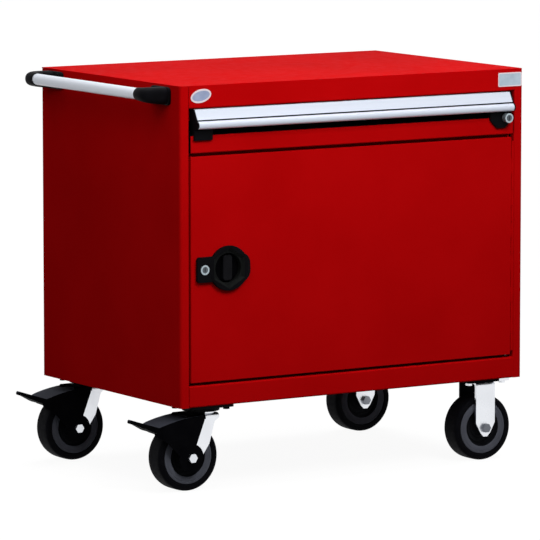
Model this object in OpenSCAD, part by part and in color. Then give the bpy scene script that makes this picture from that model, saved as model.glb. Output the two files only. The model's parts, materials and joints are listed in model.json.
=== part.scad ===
// Mobile steel cabinet: one wide drawer over a hinged cupboard, on two swivel casters
// with brakes and two rigid casters, with a push handle on its left side.
// Millimetres, +Z up, front towards -Y. The floor is at z = 0.

/* [Housing] */
// Width of the housing, side to side
housing_w = 914.4; // [760:0.1:1200]
// Depth of the housing, front to back
housing_d = 609.6; // [590:0.1:760]
// Height of the housing without its casters
housing_h = 711.2; // [600:0.1:900]
// Thickness of the folded steel sheet
sheet_t = 2; // [1.2:0.1:2.2]
// Face width of each front post
post_w = 23; // [21:0.5:30]
// Outer radius of the bend at the front posts
corner_r = 7; // [4:0.5:10]
// Outer radius of the other bends in the sheet
bend_r = 3.5; // [3:0.5:5]
// How far a post's inner edge is turned back
post_return = 16; // [12:0.5:17]
// Width of the flanges at the back of the side panels
rear_flange = 24; // [15:1:40]
// Height of the rail above the drawer
top_rail_h = 50; // [40:0.5:70]
// Depth of the lip under the top rail
top_lip = 14; // [8:0.5:20]
// Height of the rail under the door
base_rail_h = 48; // [44:0.5:70]
// Height of the keeper edges behind the door, which the latch rods catch
keeper_h = 14; // [10:0.5:18]
// Width of a slotted upright
upright_w = 40; // [30:1:50]
// Distance from the front face to the front uprights
upright_front = 34; // [30:0.5:45]
// Distance from the back face to the rear uprights
upright_back = 30; // [25:0.5:45]
// Height of a slot in the uprights
slot_h = 12; // [8:0.5:16]
// Width of a slot in the uprights
slot_w = 4; // [3:0.5:6]
// Spacing of the slots in the uprights
slot_pitch = 40; // [30:1:60]

/* [Door] */
// Gap beside the door's free edge and beside the drawer front
side_gap = 4.5; // [3:0.1:6]
// Gap at the door's hinge edge
hinge_gap = 8; // [7.5:0.1:10]
// Gap between base rail and door, and between door and drawer
row_gap = 7; // [6:0.1:9]
// Depth of the folded door
door_depth = 20; // [16:0.5:20]
// Radius of the hinge barrel
barrel_r = 3.2; // [3:0.1:3.4]
// Radius of the hinge pin
hinge_pin_r = 1.6; // [1.2:0.1:2]
// Thickness of the hinge leaves
leaf_t = 1.2; // [0.8:0.1:1.3]
// Number of hinge knuckles, frame and door together
knuckles = 13; // [7:2:17]
// How far the hinge axis lies behind the front face
hinge_set = 1; // [0.5:0.1:1.5]

/* [Door latch] */
// Distance from the door's free edge to the knob's axis
knob_inset = 94.7; // [90:0.1:140]
// Radius of the rosette's round part
rosette_r = 50; // [46:0.5:54]
// Thickness of the rosette
rosette_t = 8; // [6:0.5:12]
// Radius of the cup in the rosette
dish_r = 33; // [31:0.5:34]
// Depth of the cup behind the door's face
cup_d = 11; // [9:0.5:11.5]
// How far the rosette's ear reaches past its round part
ear_past = 4.7; // [1:0.1:8]
// Height of the rosette's ear
ear_h = 64; // [50:0.5:72]
// Length of the rosette's tab past the lock's axis
tab_past = 18.7; // [14:0.1:22]
// Height of the rosette's tab
tab_h = 56.4; // [40:0.1:64]
// Length of the knob's grip
grip_l = 58; // [45:0.5:58]
// Width of the knob's grip
grip_w = 25; // [18:0.5:28]
// How far the grip stands out past the door's face
grip_out = 0; // [-2:0.5:4]
// Distance from the door's free edge to the door lock's axis
lock_inset = 30.9; // [26:0.1:36]
// Radius of the lock barrels
lock_r = 11; // [10:0.1:11]
// Radius of the plugs that turn in the lock barrels
plug_r = 7; // [5:0.1:7.5]
// Reach of the lock cams from their axis
cam_reach = 46; // [44:0.5:52]
// Radius of the crank pins on the latch hub, from the knob's axis
crank_r = 12; // [10:0.5:13]
// Width of the flat latch rods
rod_w = 20; // [18:0.5:22]
// Thickness of the flat latch rods
rod_t = 4; // [3:0.5:4.5]

/* [Drawer] */
// Height of the drawer front
drawer_front_h = 97; // [90:0.5:130]
// Gap above the drawer front
drawer_top_gap = 2.5; // [2:0.1:5]
// Depth of the folded drawer front
drawer_front_depth = 28; // [27:0.5:30]
// Depth of the finger recess behind the pull
recess_d = 18; // [14:0.5:18]
// Height of the flush strip under the finger recess
flush_h = 38; // [30:0.5:44]
// Depth of the drawer box, front to back
box_d = 535; // [400:1:538]
// Height of the drawer box
box_h = 84; // [60:0.5:86]
// Thickness of the drawer box's sheet
box_t = 1.5; // [1:0.1:2]
// Thickness of a drawer slide, all three members
slide_t = 12.7; // [12.5:0.1:15]
// Height of a drawer slide
slide_h = 40; // [36:0.5:44]
// Length of a drawer slide
slide_l = 545; // [450:1:545]
// Distance from the ends of the drawer front to the ends of the metal pull
pull_inset = 9.7; // [5:0.1:14]
// Height of the pull
pull_h = 43; // [38:0.5:48]
// Radius of the rounded grip along the pull's lower edge
pull_r = 9; // [7:0.5:10]
// How far the pull stands out from the front face
pull_out = 21; // [19:0.5:26]
// Wall thickness of the pull
pull_t = 2.5; // [2:0.1:3]
// Width of the bracket at the left end of the pull
left_bracket_w = 44; // [40:0.5:70]
// Width of the bracket at the right end of the pull, which holds the lock
right_bracket_w = 56; // [50:0.5:80]
// Distance from the drawer front's right edge to the drawer lock's axis
drawer_lock_inset = 22.7; // [20:0.1:26]
// How far the drawer lock stands out from the front face
drawer_lock_out = 18.5; // [14:0.5:24]

/* [Shelf] */
// Height of the shelf above the cupboard floor
shelf_up = 240; // [120:1:360]
// Depth of the shelf's front and back flanges
shelf_flange = 25; // [15:0.5:40]
// Distance from the front face to the shelf
shelf_front = 38; // [36:0.5:48]

/* [Push handle] */
// Diameter of the handle tube
tube_d = 25.4; // [20:0.1:30]
// Wall of the handle tube
tube_wall = 2; // [1.5:0.1:3]
// Distance from the side panel to the tube's axis
tube_out = 53; // [45:0.5:80]
// Distance from the top of the housing down to the tube's axis
tube_drop = 20.2; // [19:0.1:40]
// Distance between the axes of the two handle brackets
bracket_span = 508; // [300:1:520]
// How far the handle's middle lies behind the housing's middle
handle_back = 8; // [0:0.5:12]
// Radius of the brackets' elbows
bracket_r = 16.5; // [16:0.1:18]

/* [Casters] */
// Height from the floor to the underside of the housing
caster_h = 190.5; // [188:0.1:200]
// Diameter of the wheels
wheel_d = 152.4; // [140:0.1:153]
// Width of the wheels
wheel_w = 50; // [40:0.5:54]
// Distance from the housing's side to a caster's centre
caster_inset_x = 85; // [75:0.5:140]
// Distance from the housing's front or back to a caster's centre
caster_inset_y = 55; // [54:0.5:90]
// How far a swivel wheel trails behind its king pin
trail = 47; // [42:0.5:52]
// Length of a caster's top plate, along the housing's width
plate_l = 114.3; // [110:0.1:130]
// Width of a caster's top plate
plate_w = 101.6; // [95:0.1:106]
// Thickness of a caster's top plate
plate_t = 6; // [4:0.1:7]
// Bolt spacing along the plate
bolt_x = 92.1; // [90:0.1:95]
// Bolt spacing across the plate
bolt_y = 66.7; // [60:0.1:80]
// Radius of the caster bolts
bolt_r = 4.75; // [4:0.05:5]
// Thickness of the forks' plate
fork_t = 6; // [4:0.1:6]
// Clear width inside a fork
fork_gap = 58; // [57:0.1:60]
// Width of a rigid fork's legs
rigid_leg_w = 52; // [44:0.5:60]
// Radius of the axle bolts
axle_r = 6.35; // [5:0.05:7]
// Radius of the wheel core, under the tread
core_r = 60.5; // [54:0.5:64]
// Inner radius of the core's rim
rim_r = 42; // [36:0.5:46]
// Thickness of the brake pedal's walls
pedal_t = 3; // [2:0.1:3.4]

/* [Hidden] */
$fn = 48;

// Clearances shared by the pieces
run_gap = 0.05;
slip_gap = 0.3;
bend_steps = 6;

// Levels and planes of the housing
half_w = housing_w / 2;
inner_half = half_w - sheet_t;
bay_half = half_w - post_w;
front_y = -housing_d / 2;
back_y = housing_d / 2;
base_z = caster_h;
top_z = caster_h + housing_h;
back_inner_y = back_y - 2 * sheet_t;
sill_z = base_z + base_rail_h;

// Door and drawer front
door_z0 = sill_z + row_gap;
drawer_z1 = top_z - top_rail_h - drawer_top_gap;
drawer_z0 = drawer_z1 - drawer_front_h;
door_z1 = drawer_z0 - row_gap;
door_x0 = -bay_half + side_gap;
door_x1 = bay_half - hinge_gap;
door_back_y = front_y + door_depth;
drawer_half = bay_half - side_gap;
knob_x = door_x0 + knob_inset;
knob_z = (door_z0 + door_z1) / 2;
lock_x = door_x0 + lock_inset;
hinge_x = (door_x1 + bay_half) / 2;
hinge_y = front_y + hinge_set;
hinge_z0 = door_z0 + 10;
hinge_z1 = door_z1 - 10;
knuckle_l = (hinge_z1 - hinge_z0) / knuckles;

// Latch behind the door
hub_r = crank_r + 6;
hub_t = 3.5;
crank_pin_r = 3;
rod_y = door_back_y + slip_gap + hub_t + slip_gap;
rod_offset = crank_r;
rod_travel = crank_r * sqrt(2);
rod_slot_play = 0.9;
rod_end_gap = 1.5;
keeper_y = rod_y - 1;
floor_front_y = rod_y + rod_t + 6;
partition_z = door_z1 + 5;
upper_tip_z = partition_z - sheet_t - rod_end_gap - rod_travel;
lower_tip_z = sill_z + 4;
cam_t = 3;
cam_w = 12;
door_cam_y = door_back_y + 1;

// Drawer box, slides, pull and lock
box_y = front_y + drawer_front_depth;
box_half = bay_half - slide_t;
box_z0 = drawer_z0 + 4;
slide_z = box_z0 + 38;
slide_y = front_y + 30;
member_t = 1.5;
drawer_lock_x = drawer_half - drawer_lock_inset;
drawer_lock_z = drawer_z0 + flush_h + 1;
drawer_cam_y = front_y + recess_d + sheet_t + 0.5;
drawer_cam_reach = drawer_lock_inset + side_gap + 9;
pull_l = 2 * (drawer_half - pull_inset);
pull_grip_y = pull_out - pull_r;
pull_grip_z = -pull_h + pull_r;
bracket_face = 5;

// Casters
wheel_r = wheel_d / 2;
caster_x = half_w - caster_inset_x;
caster_y = housing_d / 2 - caster_inset_y;
plate_z = base_z - plate_t;
leg_out = fork_gap / 2 + fork_t;
crown_z = wheel_d + 13;
crown_top = crown_z + fork_t;
head_z = crown_top + 4.5;
head_r = 42;
race_r = 33;
king_r = 6;
bolt_head_h = 6.3;
bolt_hex = 14.3;
axle_head_h = 8;
axle_head_w = 19;
pedal_y = leg_out + 0.5;
pedal_out = pedal_y + pedal_t;
wheel_k = wheel_r / 76.2;
shoe_pin = [2, 84] * wheel_k;
shoe_pin_r = 4;
shoe_half = 20;

// Reach of the whole cabinet, which sets the frame's origin: floor level, middle of its box
pedal_tip = [-134.5, 86.5] * wheel_k;
pedal_tip_r = 4.3 * wheel_k;
box_left = min(-half_w - tube_out - bracket_r, -caster_x - trail + pedal_tip[0] - pedal_tip_r);
box_front = front_y - max(pull_out, grip_out, drawer_lock_out);
frame_shift = [-(box_left + half_w) / 2, -(box_front + back_y) / 2, 0];

// Colours
paint = [0.72, 0.02, 0.03];
zinc = [0.80, 0.82, 0.85];
black = [0.06, 0.06, 0.07];
steel = [0.55, 0.56, 0.58];
core_grey = [0.24, 0.25, 0.28];

// Shape helpers

module in_frame() {
    translate(frame_shift) children();
}

module block(lo, hi) {
    translate(lo) cube(hi - lo);
}

module along_x(length) {
    rotate([90, 0, 90]) linear_extrude(length, center = true) children();
}

module along_y(y0, y1) {
    translate([0, y1, 0]) rotate([90, 0, 0]) linear_extrude(y1 - y0) children();
}

module rod_along_y(x, z, y0, y1, r) {
    translate([x, y0, z]) rotate([-90, 0, 0]) cylinder(r = r, h = y1 - y0);
}

module hex_along_y(x, z, y0, y1, across) {
    translate([x, y0, z]) rotate([-90, 0, 0]) cylinder(d = across / cos(30), h = y1 - y0, $fn = 6);
}

module both_sides() {
    children();
    mirror([1, 0, 0]) children();
}

module rounded_rect(size, r) {
    square([size[0], size[1] - 2 * r], center = true);
    square([size[0] - 2 * r, size[1]], center = true);
    for (x = [-1, 1], y = [-1, 1]) {
        translate([x * (size[0] / 2 - r), y * (size[1] / 2 - r)]) circle(r);
    }
}

function unit(v) = v / norm(v);
function right_normal(a, b) = let(d = unit(b - a)) [d[1], -d[0]];
function polar(angle, r) = r * [cos(angle), sin(angle)];

// Points of a round bend of radius r at b, on the way from a to c
function bend_points(a, b, c, r) =
    let(
        u = unit(a - b),
        v = unit(c - b),
        half = acos(u * v) / 2,
        centre = b + unit(u + v) * r / sin(half),
        first = b + u * r / tan(half) - centre,
        last = b + v * r / tan(half) - centre,
        start = atan2(first[1], first[0]),
        turn = (atan2(last[1], last[0]) - start + 540) % 360 - 180
    )
    [for (i = [0:bend_steps]) centre + polar(start + turn * i / bend_steps, r)];

// Outer face of a folded sheet, with a bend radius for each inner corner
function folded_path(points, radii) = [
    points[0],
    for (i = [1:len(points) - 2]) each bend_points(points[i - 1], points[i], points[i + 1], radii[i - 1]),
    points[len(points) - 1]
];

// Point of the sheet's other face, t to the right of the path
function inner_point(path, i, t) =
    i == 0 ? path[0] + t * right_normal(path[0], path[1])
    : i == len(path) - 1 ? path[i] + t * right_normal(path[i - 1], path[i])
    : let(m = right_normal(path[i - 1], path[i]), n = right_normal(path[i], path[i + 1]))
      path[i] + t * (m + n) / (1 + m * n);

module folded_sheet(points, radii, t) {
    path = folded_path(points, radii);
    last = len(path) - 1;
    polygon(concat(path, [for (i = [last:-1:0]) inner_point(path, i, t)]));
}

// Housing

module side_panel() {
    translate([0, 0, base_z]) linear_extrude(housing_h - sheet_t) folded_sheet(
        [
            [-bay_half, front_y + post_return],
            [-bay_half, front_y],
            [-half_w, front_y],
            [-half_w, back_y],
            [-half_w + rear_flange, back_y]
        ],
        [bend_r, corner_r, bend_r],
        sheet_t
    );
}

module left_side_panel() {
    color(paint) in_frame() side_panel();
}

module right_side_panel() {
    color(paint) in_frame() mirror([1, 0, 0]) side_panel();
}

module back_panel() {
    half = half_w - sheet_t - bend_r;
    color(paint) in_frame() block([-half, back_inner_y, base_z], [half, back_y - sheet_t, top_z - sheet_t]);
}

module top_panel() {
    color(paint) in_frame() {
        translate([0, 0, top_z - sheet_t]) linear_extrude(sheet_t) {
            translate([-half_w, front_y + corner_r]) square([housing_w, housing_d - corner_r]);
            translate([-half_w + corner_r, front_y]) square([housing_w - 2 * corner_r, housing_d]);
            for (x = [-1, 1]) {
                translate([x * (half_w - corner_r), front_y + corner_r]) circle(corner_r);
            }
        }
        along_x(2 * bay_half) folded_sheet(
            [
                [front_y, top_z - sheet_t / 2],
                [front_y, top_z - top_rail_h],
                [front_y + top_lip, top_z - top_rail_h]
            ],
            [bend_r],
            -sheet_t
        );
    }
}

// Holes for the four bolts of one caster, or anything else at their places
module at_bolts() {
    for (x = [-1, 1], y = [-1, 1]) {
        translate([x * bolt_x / 2, y * bolt_y / 2, 0]) children();
    }
}

module at_casters() {
    for (x = [-1, 1], y = [-1, 1]) {
        translate([x * caster_x, y * caster_y, 0]) children();
    }
}

module bolt_hole(z0, z1) {
    translate([0, 0, z0 - 1]) cylinder(r = bolt_r + slip_gap, h = z1 - z0 + 2);
}

module base_pan() {
    floor_y = front_y + post_return + 1;
    color(paint) in_frame() difference() {
        union() {
            along_x(2 * bay_half) folded_sheet(
                [
                    [floor_y + 5, base_z],
                    [front_y, base_z],
                    [front_y, sill_z],
                    [keeper_y, sill_z],
                    [keeper_y, sill_z - keeper_h]
                ],
                [bend_r, bend_r, bend_r],
                sheet_t
            );
            block([-inner_half, floor_y, base_z], [inner_half, back_inner_y, base_z + sheet_t]);
            block(
                [-bay_half, back_inner_y - sheet_t, base_z],
                [bay_half, back_inner_y, sill_z - 10]
            );
        }
        at_casters() at_bolts() bolt_hole(base_z, base_z + sheet_t);
    }
}

backing_t = 4;

module caster_backing_plates() {
    z0 = base_z + sheet_t;
    color(steel) in_frame() at_casters() difference() {
        block(
            [-plate_l / 2 + 4, -plate_w / 2 + 4, z0],
            [plate_l / 2 - 4, plate_w / 2 - 4, z0 + backing_t]
        );
        at_bolts() bolt_hole(z0, z0 + backing_t);
    }
}

module cupboard_floor() {
    half = bay_half - 1;
    color(paint) in_frame() along_y(floor_front_y, back_inner_y - sheet_t - slip_gap) {
        folded_sheet(
            [
                [-half, base_z + sheet_t],
                [-half, sill_z],
                [half, sill_z],
                [half, base_z + sheet_t]
            ],
            [bend_r, bend_r],
            sheet_t
        );
    }
}

module drawer_partition() {
    color(paint) in_frame() block(
        [-bay_half, keeper_y - sheet_t, partition_z - sheet_t],
        [bay_half, back_inner_y, partition_z]
    );
}

// Strip under the partition's front edge, which the upper latch rod catches
module latch_keeper_strip() {
    color(paint) in_frame() block(
        [-bay_half, keeper_y - sheet_t, partition_z - keeper_h],
        [bay_half, keeper_y, partition_z - sheet_t]
    );
}

function upright_y(side) = side < 0 ? front_y + upright_front : back_y - upright_back - upright_w;

module upright() {
    slots = floor((partition_z - sill_z - 2 * slot_pitch) / slot_pitch);
    difference() {
        translate([0, 0, base_z + sheet_t]) linear_extrude(housing_h - 2 * sheet_t) folded_sheet(
            [
                [inner_half, 0],
                [bay_half, 0],
                [bay_half, upright_w],
                [inner_half, upright_w]
            ],
            [bend_r, bend_r],
            sheet_t
        );
        for (i = [0:slots]) {
            translate([bay_half, upright_w / 2, sill_z + slot_pitch * (i + 1)]) {
                cube([4 * sheet_t, slot_w, slot_h], center = true);
            }
        }
    }
}

module slotted_uprights() {
    color(steel) in_frame() both_sides() for (side = [-1, 1]) {
        translate([0, upright_y(side), 0]) upright();
    }
}

shelf_z = sill_z + shelf_up;
clip_t = 2;
clip_w = 22;
clip_tongue = 18;
clip_drop = 20;
clip_rise = 12;
front_clip_in = 6;
rear_clip_in = 4;

module adjustable_shelf() {
    y1 = back_inner_y - 10;
    color(paint) in_frame() along_x(2 * (bay_half - clip_t - 2)) folded_sheet(
        [
            [front_y + shelf_front, shelf_z - shelf_flange],
            [front_y + shelf_front, shelf_z],
            [y1, shelf_z],
            [y1, shelf_z - shelf_flange]
        ],
        [bend_r, bend_r],
        sheet_t
    );
}

// Angle clips that lie on the uprights and carry the shelf from below
module shelf_clips() {
    z1 = shelf_z - sheet_t;
    clip_places = [front_y + shelf_front + front_clip_in, upright_y(1) + rear_clip_in];
    color(zinc) in_frame() both_sides() for (y = clip_places) {
        block([bay_half - clip_t, y, z1 - clip_drop], [bay_half, y + clip_w, z1 + clip_rise]);
        block([bay_half - clip_tongue, y, z1 - clip_t], [bay_half, y + clip_w, z1]);
    }
}

// Push handle on the left side

tube_x = -half_w - tube_out;
tube_z = top_z - tube_drop;
socket_l = 29;
socket_r = 14.3;
arm_drop = 4;
arm_r = bracket_r + 2.5;
bracket_flange_t = 6;
bracket_flange = [80, 40];
flange_drop = 4.5;
flange_shift = 19;
screw_spread = 22;
screw_rise = 11;
screw_r = 3;
screw_hole_r = screw_r + 0.2;
screw_head_r = 5.5;
screw_head_h = 3;
screw_grip = 1;

module push_handle_tube() {
    half = bracket_span / 2 - 2;
    color(zinc) in_frame() difference() {
        rod_along_y(tube_x, tube_z, handle_back - half, handle_back + half, tube_d / 2);
        rod_along_y(tube_x, tube_z, handle_back - half - 1, handle_back + half + 1, tube_d / 2 - tube_wall);
    }
}

// Bracket at the front end: flange on the side panel, flared arm, rounded elbow and socket for the tube
module push_handle_bracket() {
    y = -bracket_span / 2;
    difference() {
        union() {
            translate([-half_w, y + flange_shift, tube_z - flange_drop]) rotate([90, 0, -90]) {
                linear_extrude(bracket_flange_t) rounded_rect(bracket_flange, 11);
            }
            translate([tube_x, y, tube_z - arm_drop]) {
                rotate([0, 90, 0]) cylinder(r1 = bracket_r, r2 = arm_r, h = tube_out);
                sphere(bracket_r);
            }
            translate([tube_x, y + socket_l, tube_z]) rotate([90, 0, 0]) {
                cylinder(r1 = socket_r, r2 = bracket_r - 1, h = socket_l);
            }
            translate([tube_x, y, tube_z]) sphere(bracket_r - 1);
        }
        rod_along_y(tube_x, tube_z, y + 2 - slip_gap, y + socket_l + 1, tube_d / 2 + run_gap);
        at_handle_screws() handle_screw_hole();
    }
}

module at_handle_screws() {
    translate([-half_w, -bracket_span / 2 + flange_shift + screw_spread, tube_z - flange_drop]) {
        for (z = [-1, 1]) {
            translate([0, 0, z * screw_rise]) children();
        }
    }
}

module handle_screw_hole() {
    rotate([0, -90, 0]) translate([0, 0, -1]) cylinder(r = screw_hole_r, h = bracket_flange_t + 2);
}

// Pan-head screw, head outside the bracket's flange
module handle_screw() {
    rotate([0, -90, 0]) {
        cylinder(r = screw_r, h = bracket_flange_t + screw_grip);
        translate([0, 0, bracket_flange_t]) cylinder(r = screw_head_r, h = screw_head_h);
    }
}

module both_handle_ends() {
    translate([0, handle_back, 0]) {
        children();
        mirror([0, 1, 0]) children();
    }
}

module push_handle_brackets() {
    color(black) in_frame() both_handle_ends() push_handle_bracket();
}

module push_handle_screws() {
    color(black) in_frame() both_handle_ends() at_handle_screws() handle_screw();
}

// Drawer slides: three nested channels a side

module slide_span(x0, x1, z0, z1) {
    block([x0, slide_y, slide_z + z0], [x1, slide_y + slide_l, slide_z + z1]);
}

module slide_channel(web_x0, web_x1, flange_x0, flange_x1, half_h) {
    slide_span(web_x0, web_x1, -half_h, half_h);
    slide_span(flange_x0, flange_x1, half_h - member_t, half_h);
    slide_span(flange_x0, flange_x1, -half_h, -half_h + member_t);
}

rail_half_h = slide_h / 2;
middle_half_h = rail_half_h - member_t - slip_gap;
runner_half_h = middle_half_h - member_t - slip_gap;

module drawer_slide_rails() {
    color(zinc) in_frame() both_sides() {
        slide_channel(bay_half - member_t, bay_half, bay_half - 9, bay_half, rail_half_h);
    }
}

module drawer_slide_middles() {
    web_x = box_half + 6;
    color(zinc) in_frame() both_sides() {
        slide_channel(web_x, web_x + member_t, box_half + 2.5, bay_half - member_t - 0.7, middle_half_h);
    }
}

module drawer_slide_runners() {
    color(zinc) in_frame() both_sides() {
        slide_channel(box_half, box_half + member_t, box_half, box_half + 5.5, runner_half_h);
    }
}

// Door hinge: knuckles of the frame and of the door take turns along one pin

module knuckle_barrels(first) {
    for (i = [first:2:knuckles - 1]) {
        translate([hinge_x, hinge_y, hinge_z0 + i * knuckle_l + slip_gap]) difference() {
            union() {
                cylinder(r = barrel_r, h = knuckle_l - 2 * slip_gap);
                children();
            }
            translate([0, 0, -1]) cylinder(r = hinge_pin_r + run_gap, h = knuckle_l + 2);
        }
    }
}

// Arm from a knuckle to its leaf, towards +X
module knuckle_arm(reach) {
    block([(barrel_r + hinge_pin_r) / 2, 0, 0], [reach, barrel_r + 1.5, knuckle_l - 2 * slip_gap]);
}

module hinge_frame_leaf() {
    reach = bay_half - hinge_x;
    color(paint) in_frame() {
        knuckle_barrels(0) knuckle_arm(reach);
        block(
            [bay_half - leaf_t, hinge_y + barrel_r + 0.8, hinge_z0 + slip_gap],
            [bay_half, front_y + post_return, hinge_z1 - slip_gap]
        );
    }
}

module hinge_door_leaf() {
    reach = hinge_x - door_x1;
    color(paint) in_frame() {
        knuckle_barrels(1) mirror([1, 0, 0]) knuckle_arm(reach);
        block(
            [door_x1, hinge_y + barrel_r + 0.8, hinge_z0 + slip_gap],
            [door_x1 + leaf_t, door_back_y - 2, hinge_z1 - slip_gap]
        );
    }
}

module hinge_pin() {
    head_h = 1.5;
    pin_l = hinge_z1 - hinge_z0 + 2 * head_h;
    color(paint) in_frame() translate([hinge_x, hinge_y, 0]) {
        translate([0, 0, hinge_z0 - head_h]) cylinder(r = hinge_pin_r, h = pin_l);
        translate([0, 0, hinge_z0 - head_h + slip_gap]) cylinder(r = barrel_r, h = head_h);
        translate([0, 0, hinge_z1 - slip_gap]) cylinder(r = barrel_r, h = head_h);
    }
}

// Door

shaft_r = 8;
cup_wall = 2;
cup_y = front_y + cup_d;

module door_panel() {
    color(paint) in_frame() difference() {
        block([door_x0, front_y, door_z0], [door_x1, door_back_y, door_z1]);
        block(
            [door_x0 + sheet_t, front_y + sheet_t, door_z0 + sheet_t],
            [door_x1 - sheet_t, door_back_y + 1, door_z1 - sheet_t]
        );
        rod_along_y(knob_x, knob_z, front_y - 1, front_y + sheet_t + 1, dish_r + cup_wall + slip_gap);
        rod_along_y(lock_x, knob_z, front_y - 1, front_y + sheet_t + 1, lock_r - 1.7);
    }
}

module door_inner_panel() {
    edge = sheet_t + slip_gap;
    color(paint) in_frame() difference() {
        block(
            [door_x0 + edge, front_y + sheet_t, door_z0 + edge],
            [door_x1 - edge, door_back_y, door_z1 - edge]
        );
        block(
            [door_x0 + edge + sheet_t, front_y + sheet_t - 1, door_z0 + edge + sheet_t],
            [door_x1 - edge - sheet_t, door_back_y - sheet_t, door_z1 - edge - sheet_t]
        );
        rod_along_y(knob_x, knob_z, front_y, door_back_y + 1, shaft_r + 1);
        rod_along_y(lock_x, knob_z, front_y, door_back_y + 1, lock_r - 1.7);
    }
}

// Flat part of the rosette between two X positions
module rosette_plate(x0, x1, height, r) {
    translate([(x0 + x1) / 2, front_y, knob_z]) rotate([90, 0, 0]) {
        linear_extrude(rosette_t - 1) rounded_rect([x1 - x0, height], r);
    }
}

// Rosette: round part with a six-sided bevel round a cup let into the door, and a tab that holds the lock
module door_rosette() {
    y0 = front_y - rosette_t;
    land = 2;
    slope = 1.25;
    bevel_r = dish_r + 6;
    bevel_h = rosette_t - land + 1;
    color(black) in_frame() difference() {
        union() {
            rod_along_y(knob_x, knob_z, y0, front_y, rosette_r);
            rod_along_y(knob_x, knob_z, front_y - 1, cup_y + cup_wall, dish_r + cup_wall);
            rosette_plate(lock_x - tab_past, knob_x, tab_h, 7);
            rosette_plate(knob_x, knob_x + rosette_r + ear_past, ear_h, 24);
        }
        rod_along_y(knob_x, knob_z, y0 - 1, cup_y, dish_r);
        translate([knob_x, y0 - 1, knob_z]) rotate([-90, 30, 0]) {
            cylinder(r1 = bevel_r + slope * bevel_h, r2 = bevel_r, h = bevel_h, $fn = 6);
        }
        rod_along_y(knob_x, knob_z, cup_y - 1, cup_y + cup_wall + 1, shaft_r + 1);
        rod_along_y(lock_x, knob_z, y0 - 1, front_y + 1, lock_r - 1.7);
    }
}

// Knob: disc on the cup's floor, upright grip with rounded ends, and its shaft through the door
module door_knob() {
    disc_y = cup_y - slip_gap;
    disc_t = 2.4;
    grip_h = grip_out + cup_d - slip_gap - disc_t;
    color(black) in_frame() {
        rod_along_y(knob_x, knob_z, disc_y - disc_t, disc_y, dish_r - 1.5);
        translate([knob_x, disc_y - disc_t + 0.01, knob_z]) rotate([90, 0, 0]) {
            linear_extrude(grip_h) rounded_rect([grip_w, grip_l], 7);
        }
        rod_along_y(knob_x, knob_z, disc_y - 0.01, door_back_y + slip_gap, shaft_r);
    }
}

// Latch hub: disc behind the door with two crank pins, a half turn apart
module latch_hub() {
    y0 = door_back_y + slip_gap;
    y1 = y0 + hub_t;
    pin_end = rod_y + rod_t + 0.5;
    color(steel) in_frame() {
        rod_along_y(knob_x, knob_z, y0, y1, hub_r);
        for (side = [-1, 1]) {
            pin = side * polar(-45, crank_r);
            rod_along_y(knob_x + pin[0], knob_z + pin[1], y1 - 0.01, pin_end, crank_pin_r);
        }
    }
}

// Flat latch rod with a cross slot for its crank pin, for the upper rod
module latch_rod(x, tip_z) {
    pin_z = knob_z - crank_r / sqrt(2);
    slot_x0 = crank_r / sqrt(2) - crank_pin_r - rod_slot_play;
    slot_x1 = crank_r + crank_pin_r + rod_slot_play;
    slot_half = crank_pin_r + rod_slot_play;
    taper = 5;
    difference() {
        along_y(rod_y, rod_y + rod_t) polygon([
            [x - rod_w / 2, pin_z - slot_half - 5],
            [x + rod_w / 2, pin_z - slot_half - 5],
            [x + rod_w / 2, tip_z - taper],
            [x + rod_w / 2 - taper, tip_z],
            [x - rod_w / 2 + taper, tip_z],
            [x - rod_w / 2, tip_z - taper]
        ]);
        block(
            [knob_x + slot_x0, rod_y - 1, pin_z - slot_half],
            [knob_x + slot_x1, rod_y + rod_t + 1, pin_z + slot_half]
        );
    }
}

module upper_latch_rod() {
    color(steel) in_frame() latch_rod(knob_x + rod_offset, upper_tip_z);
}

// The lower rod is the upper one turned half a turn about the knob's axis
module lower_latch_rod() {
    color(steel) in_frame() translate([2 * knob_x, 0, 2 * knob_z]) rotate([0, 180, 0]) {
        latch_rod(knob_x + rod_offset, 2 * knob_z - lower_tip_z);
    }
}

// Straps on the door that the latch rods slide in
module rod_guide(x, z) {
    wall = 2.5;
    play = 0.4;
    tall = 16;
    difference() {
        block(
            [x - rod_w / 2 - play - wall, door_back_y, z],
            [x + rod_w / 2 + play + wall, rod_y + rod_t + play + wall, z + tall]
        );
        block(
            [x - rod_w / 2 - play, rod_y - play, z - 1],
            [x + rod_w / 2 + play, rod_y + rod_t + play, z + tall + 1]
        );
    }
}

module rod_guides() {
    from_end = 95;
    color(steel) in_frame() {
        rod_guide(knob_x + rod_offset, knob_z + 45);
        rod_guide(knob_x + rod_offset, door_z1 - from_end);
        rod_guide(knob_x - rod_offset, knob_z - 61);
        rod_guide(knob_x - rod_offset, door_z0 + from_end - 16);
    }
}

// Key locks

// Barrel with a wider face ring at the front end y0
module lock_barrel(x, z, y0, ring_y, y1) {
    difference() {
        union() {
            rod_along_y(x, z, y0, ring_y, lock_r);
            rod_along_y(x, z, ring_y - 0.01, y1, lock_r - 2);
        }
        rod_along_y(x, z, y0 - 1, y1 + 1, plug_r + run_gap);
    }
}

// Plug with a key slot in its face
module lock_plug(x, z, y0, y1) {
    difference() {
        rod_along_y(x, z, y0, y1, plug_r);
        block([x - 0.8, y0 - 1, z - 4], [x + 0.8, y0 + 6, z + 4]);
    }
}

// Cam on the plug's rear end, pointing up when unlocked
module lock_cam(x, z, y0, reach) {
    translate([x, y0 + cam_t, z]) rotate([90, 0, 0]) linear_extrude(cam_t) {
        circle(plug_r);
        translate([-cam_w / 2, 0]) square([cam_w, reach - cam_w / 2]);
        translate([0, reach - cam_w / 2]) circle(cam_w / 2);
    }
}

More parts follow.
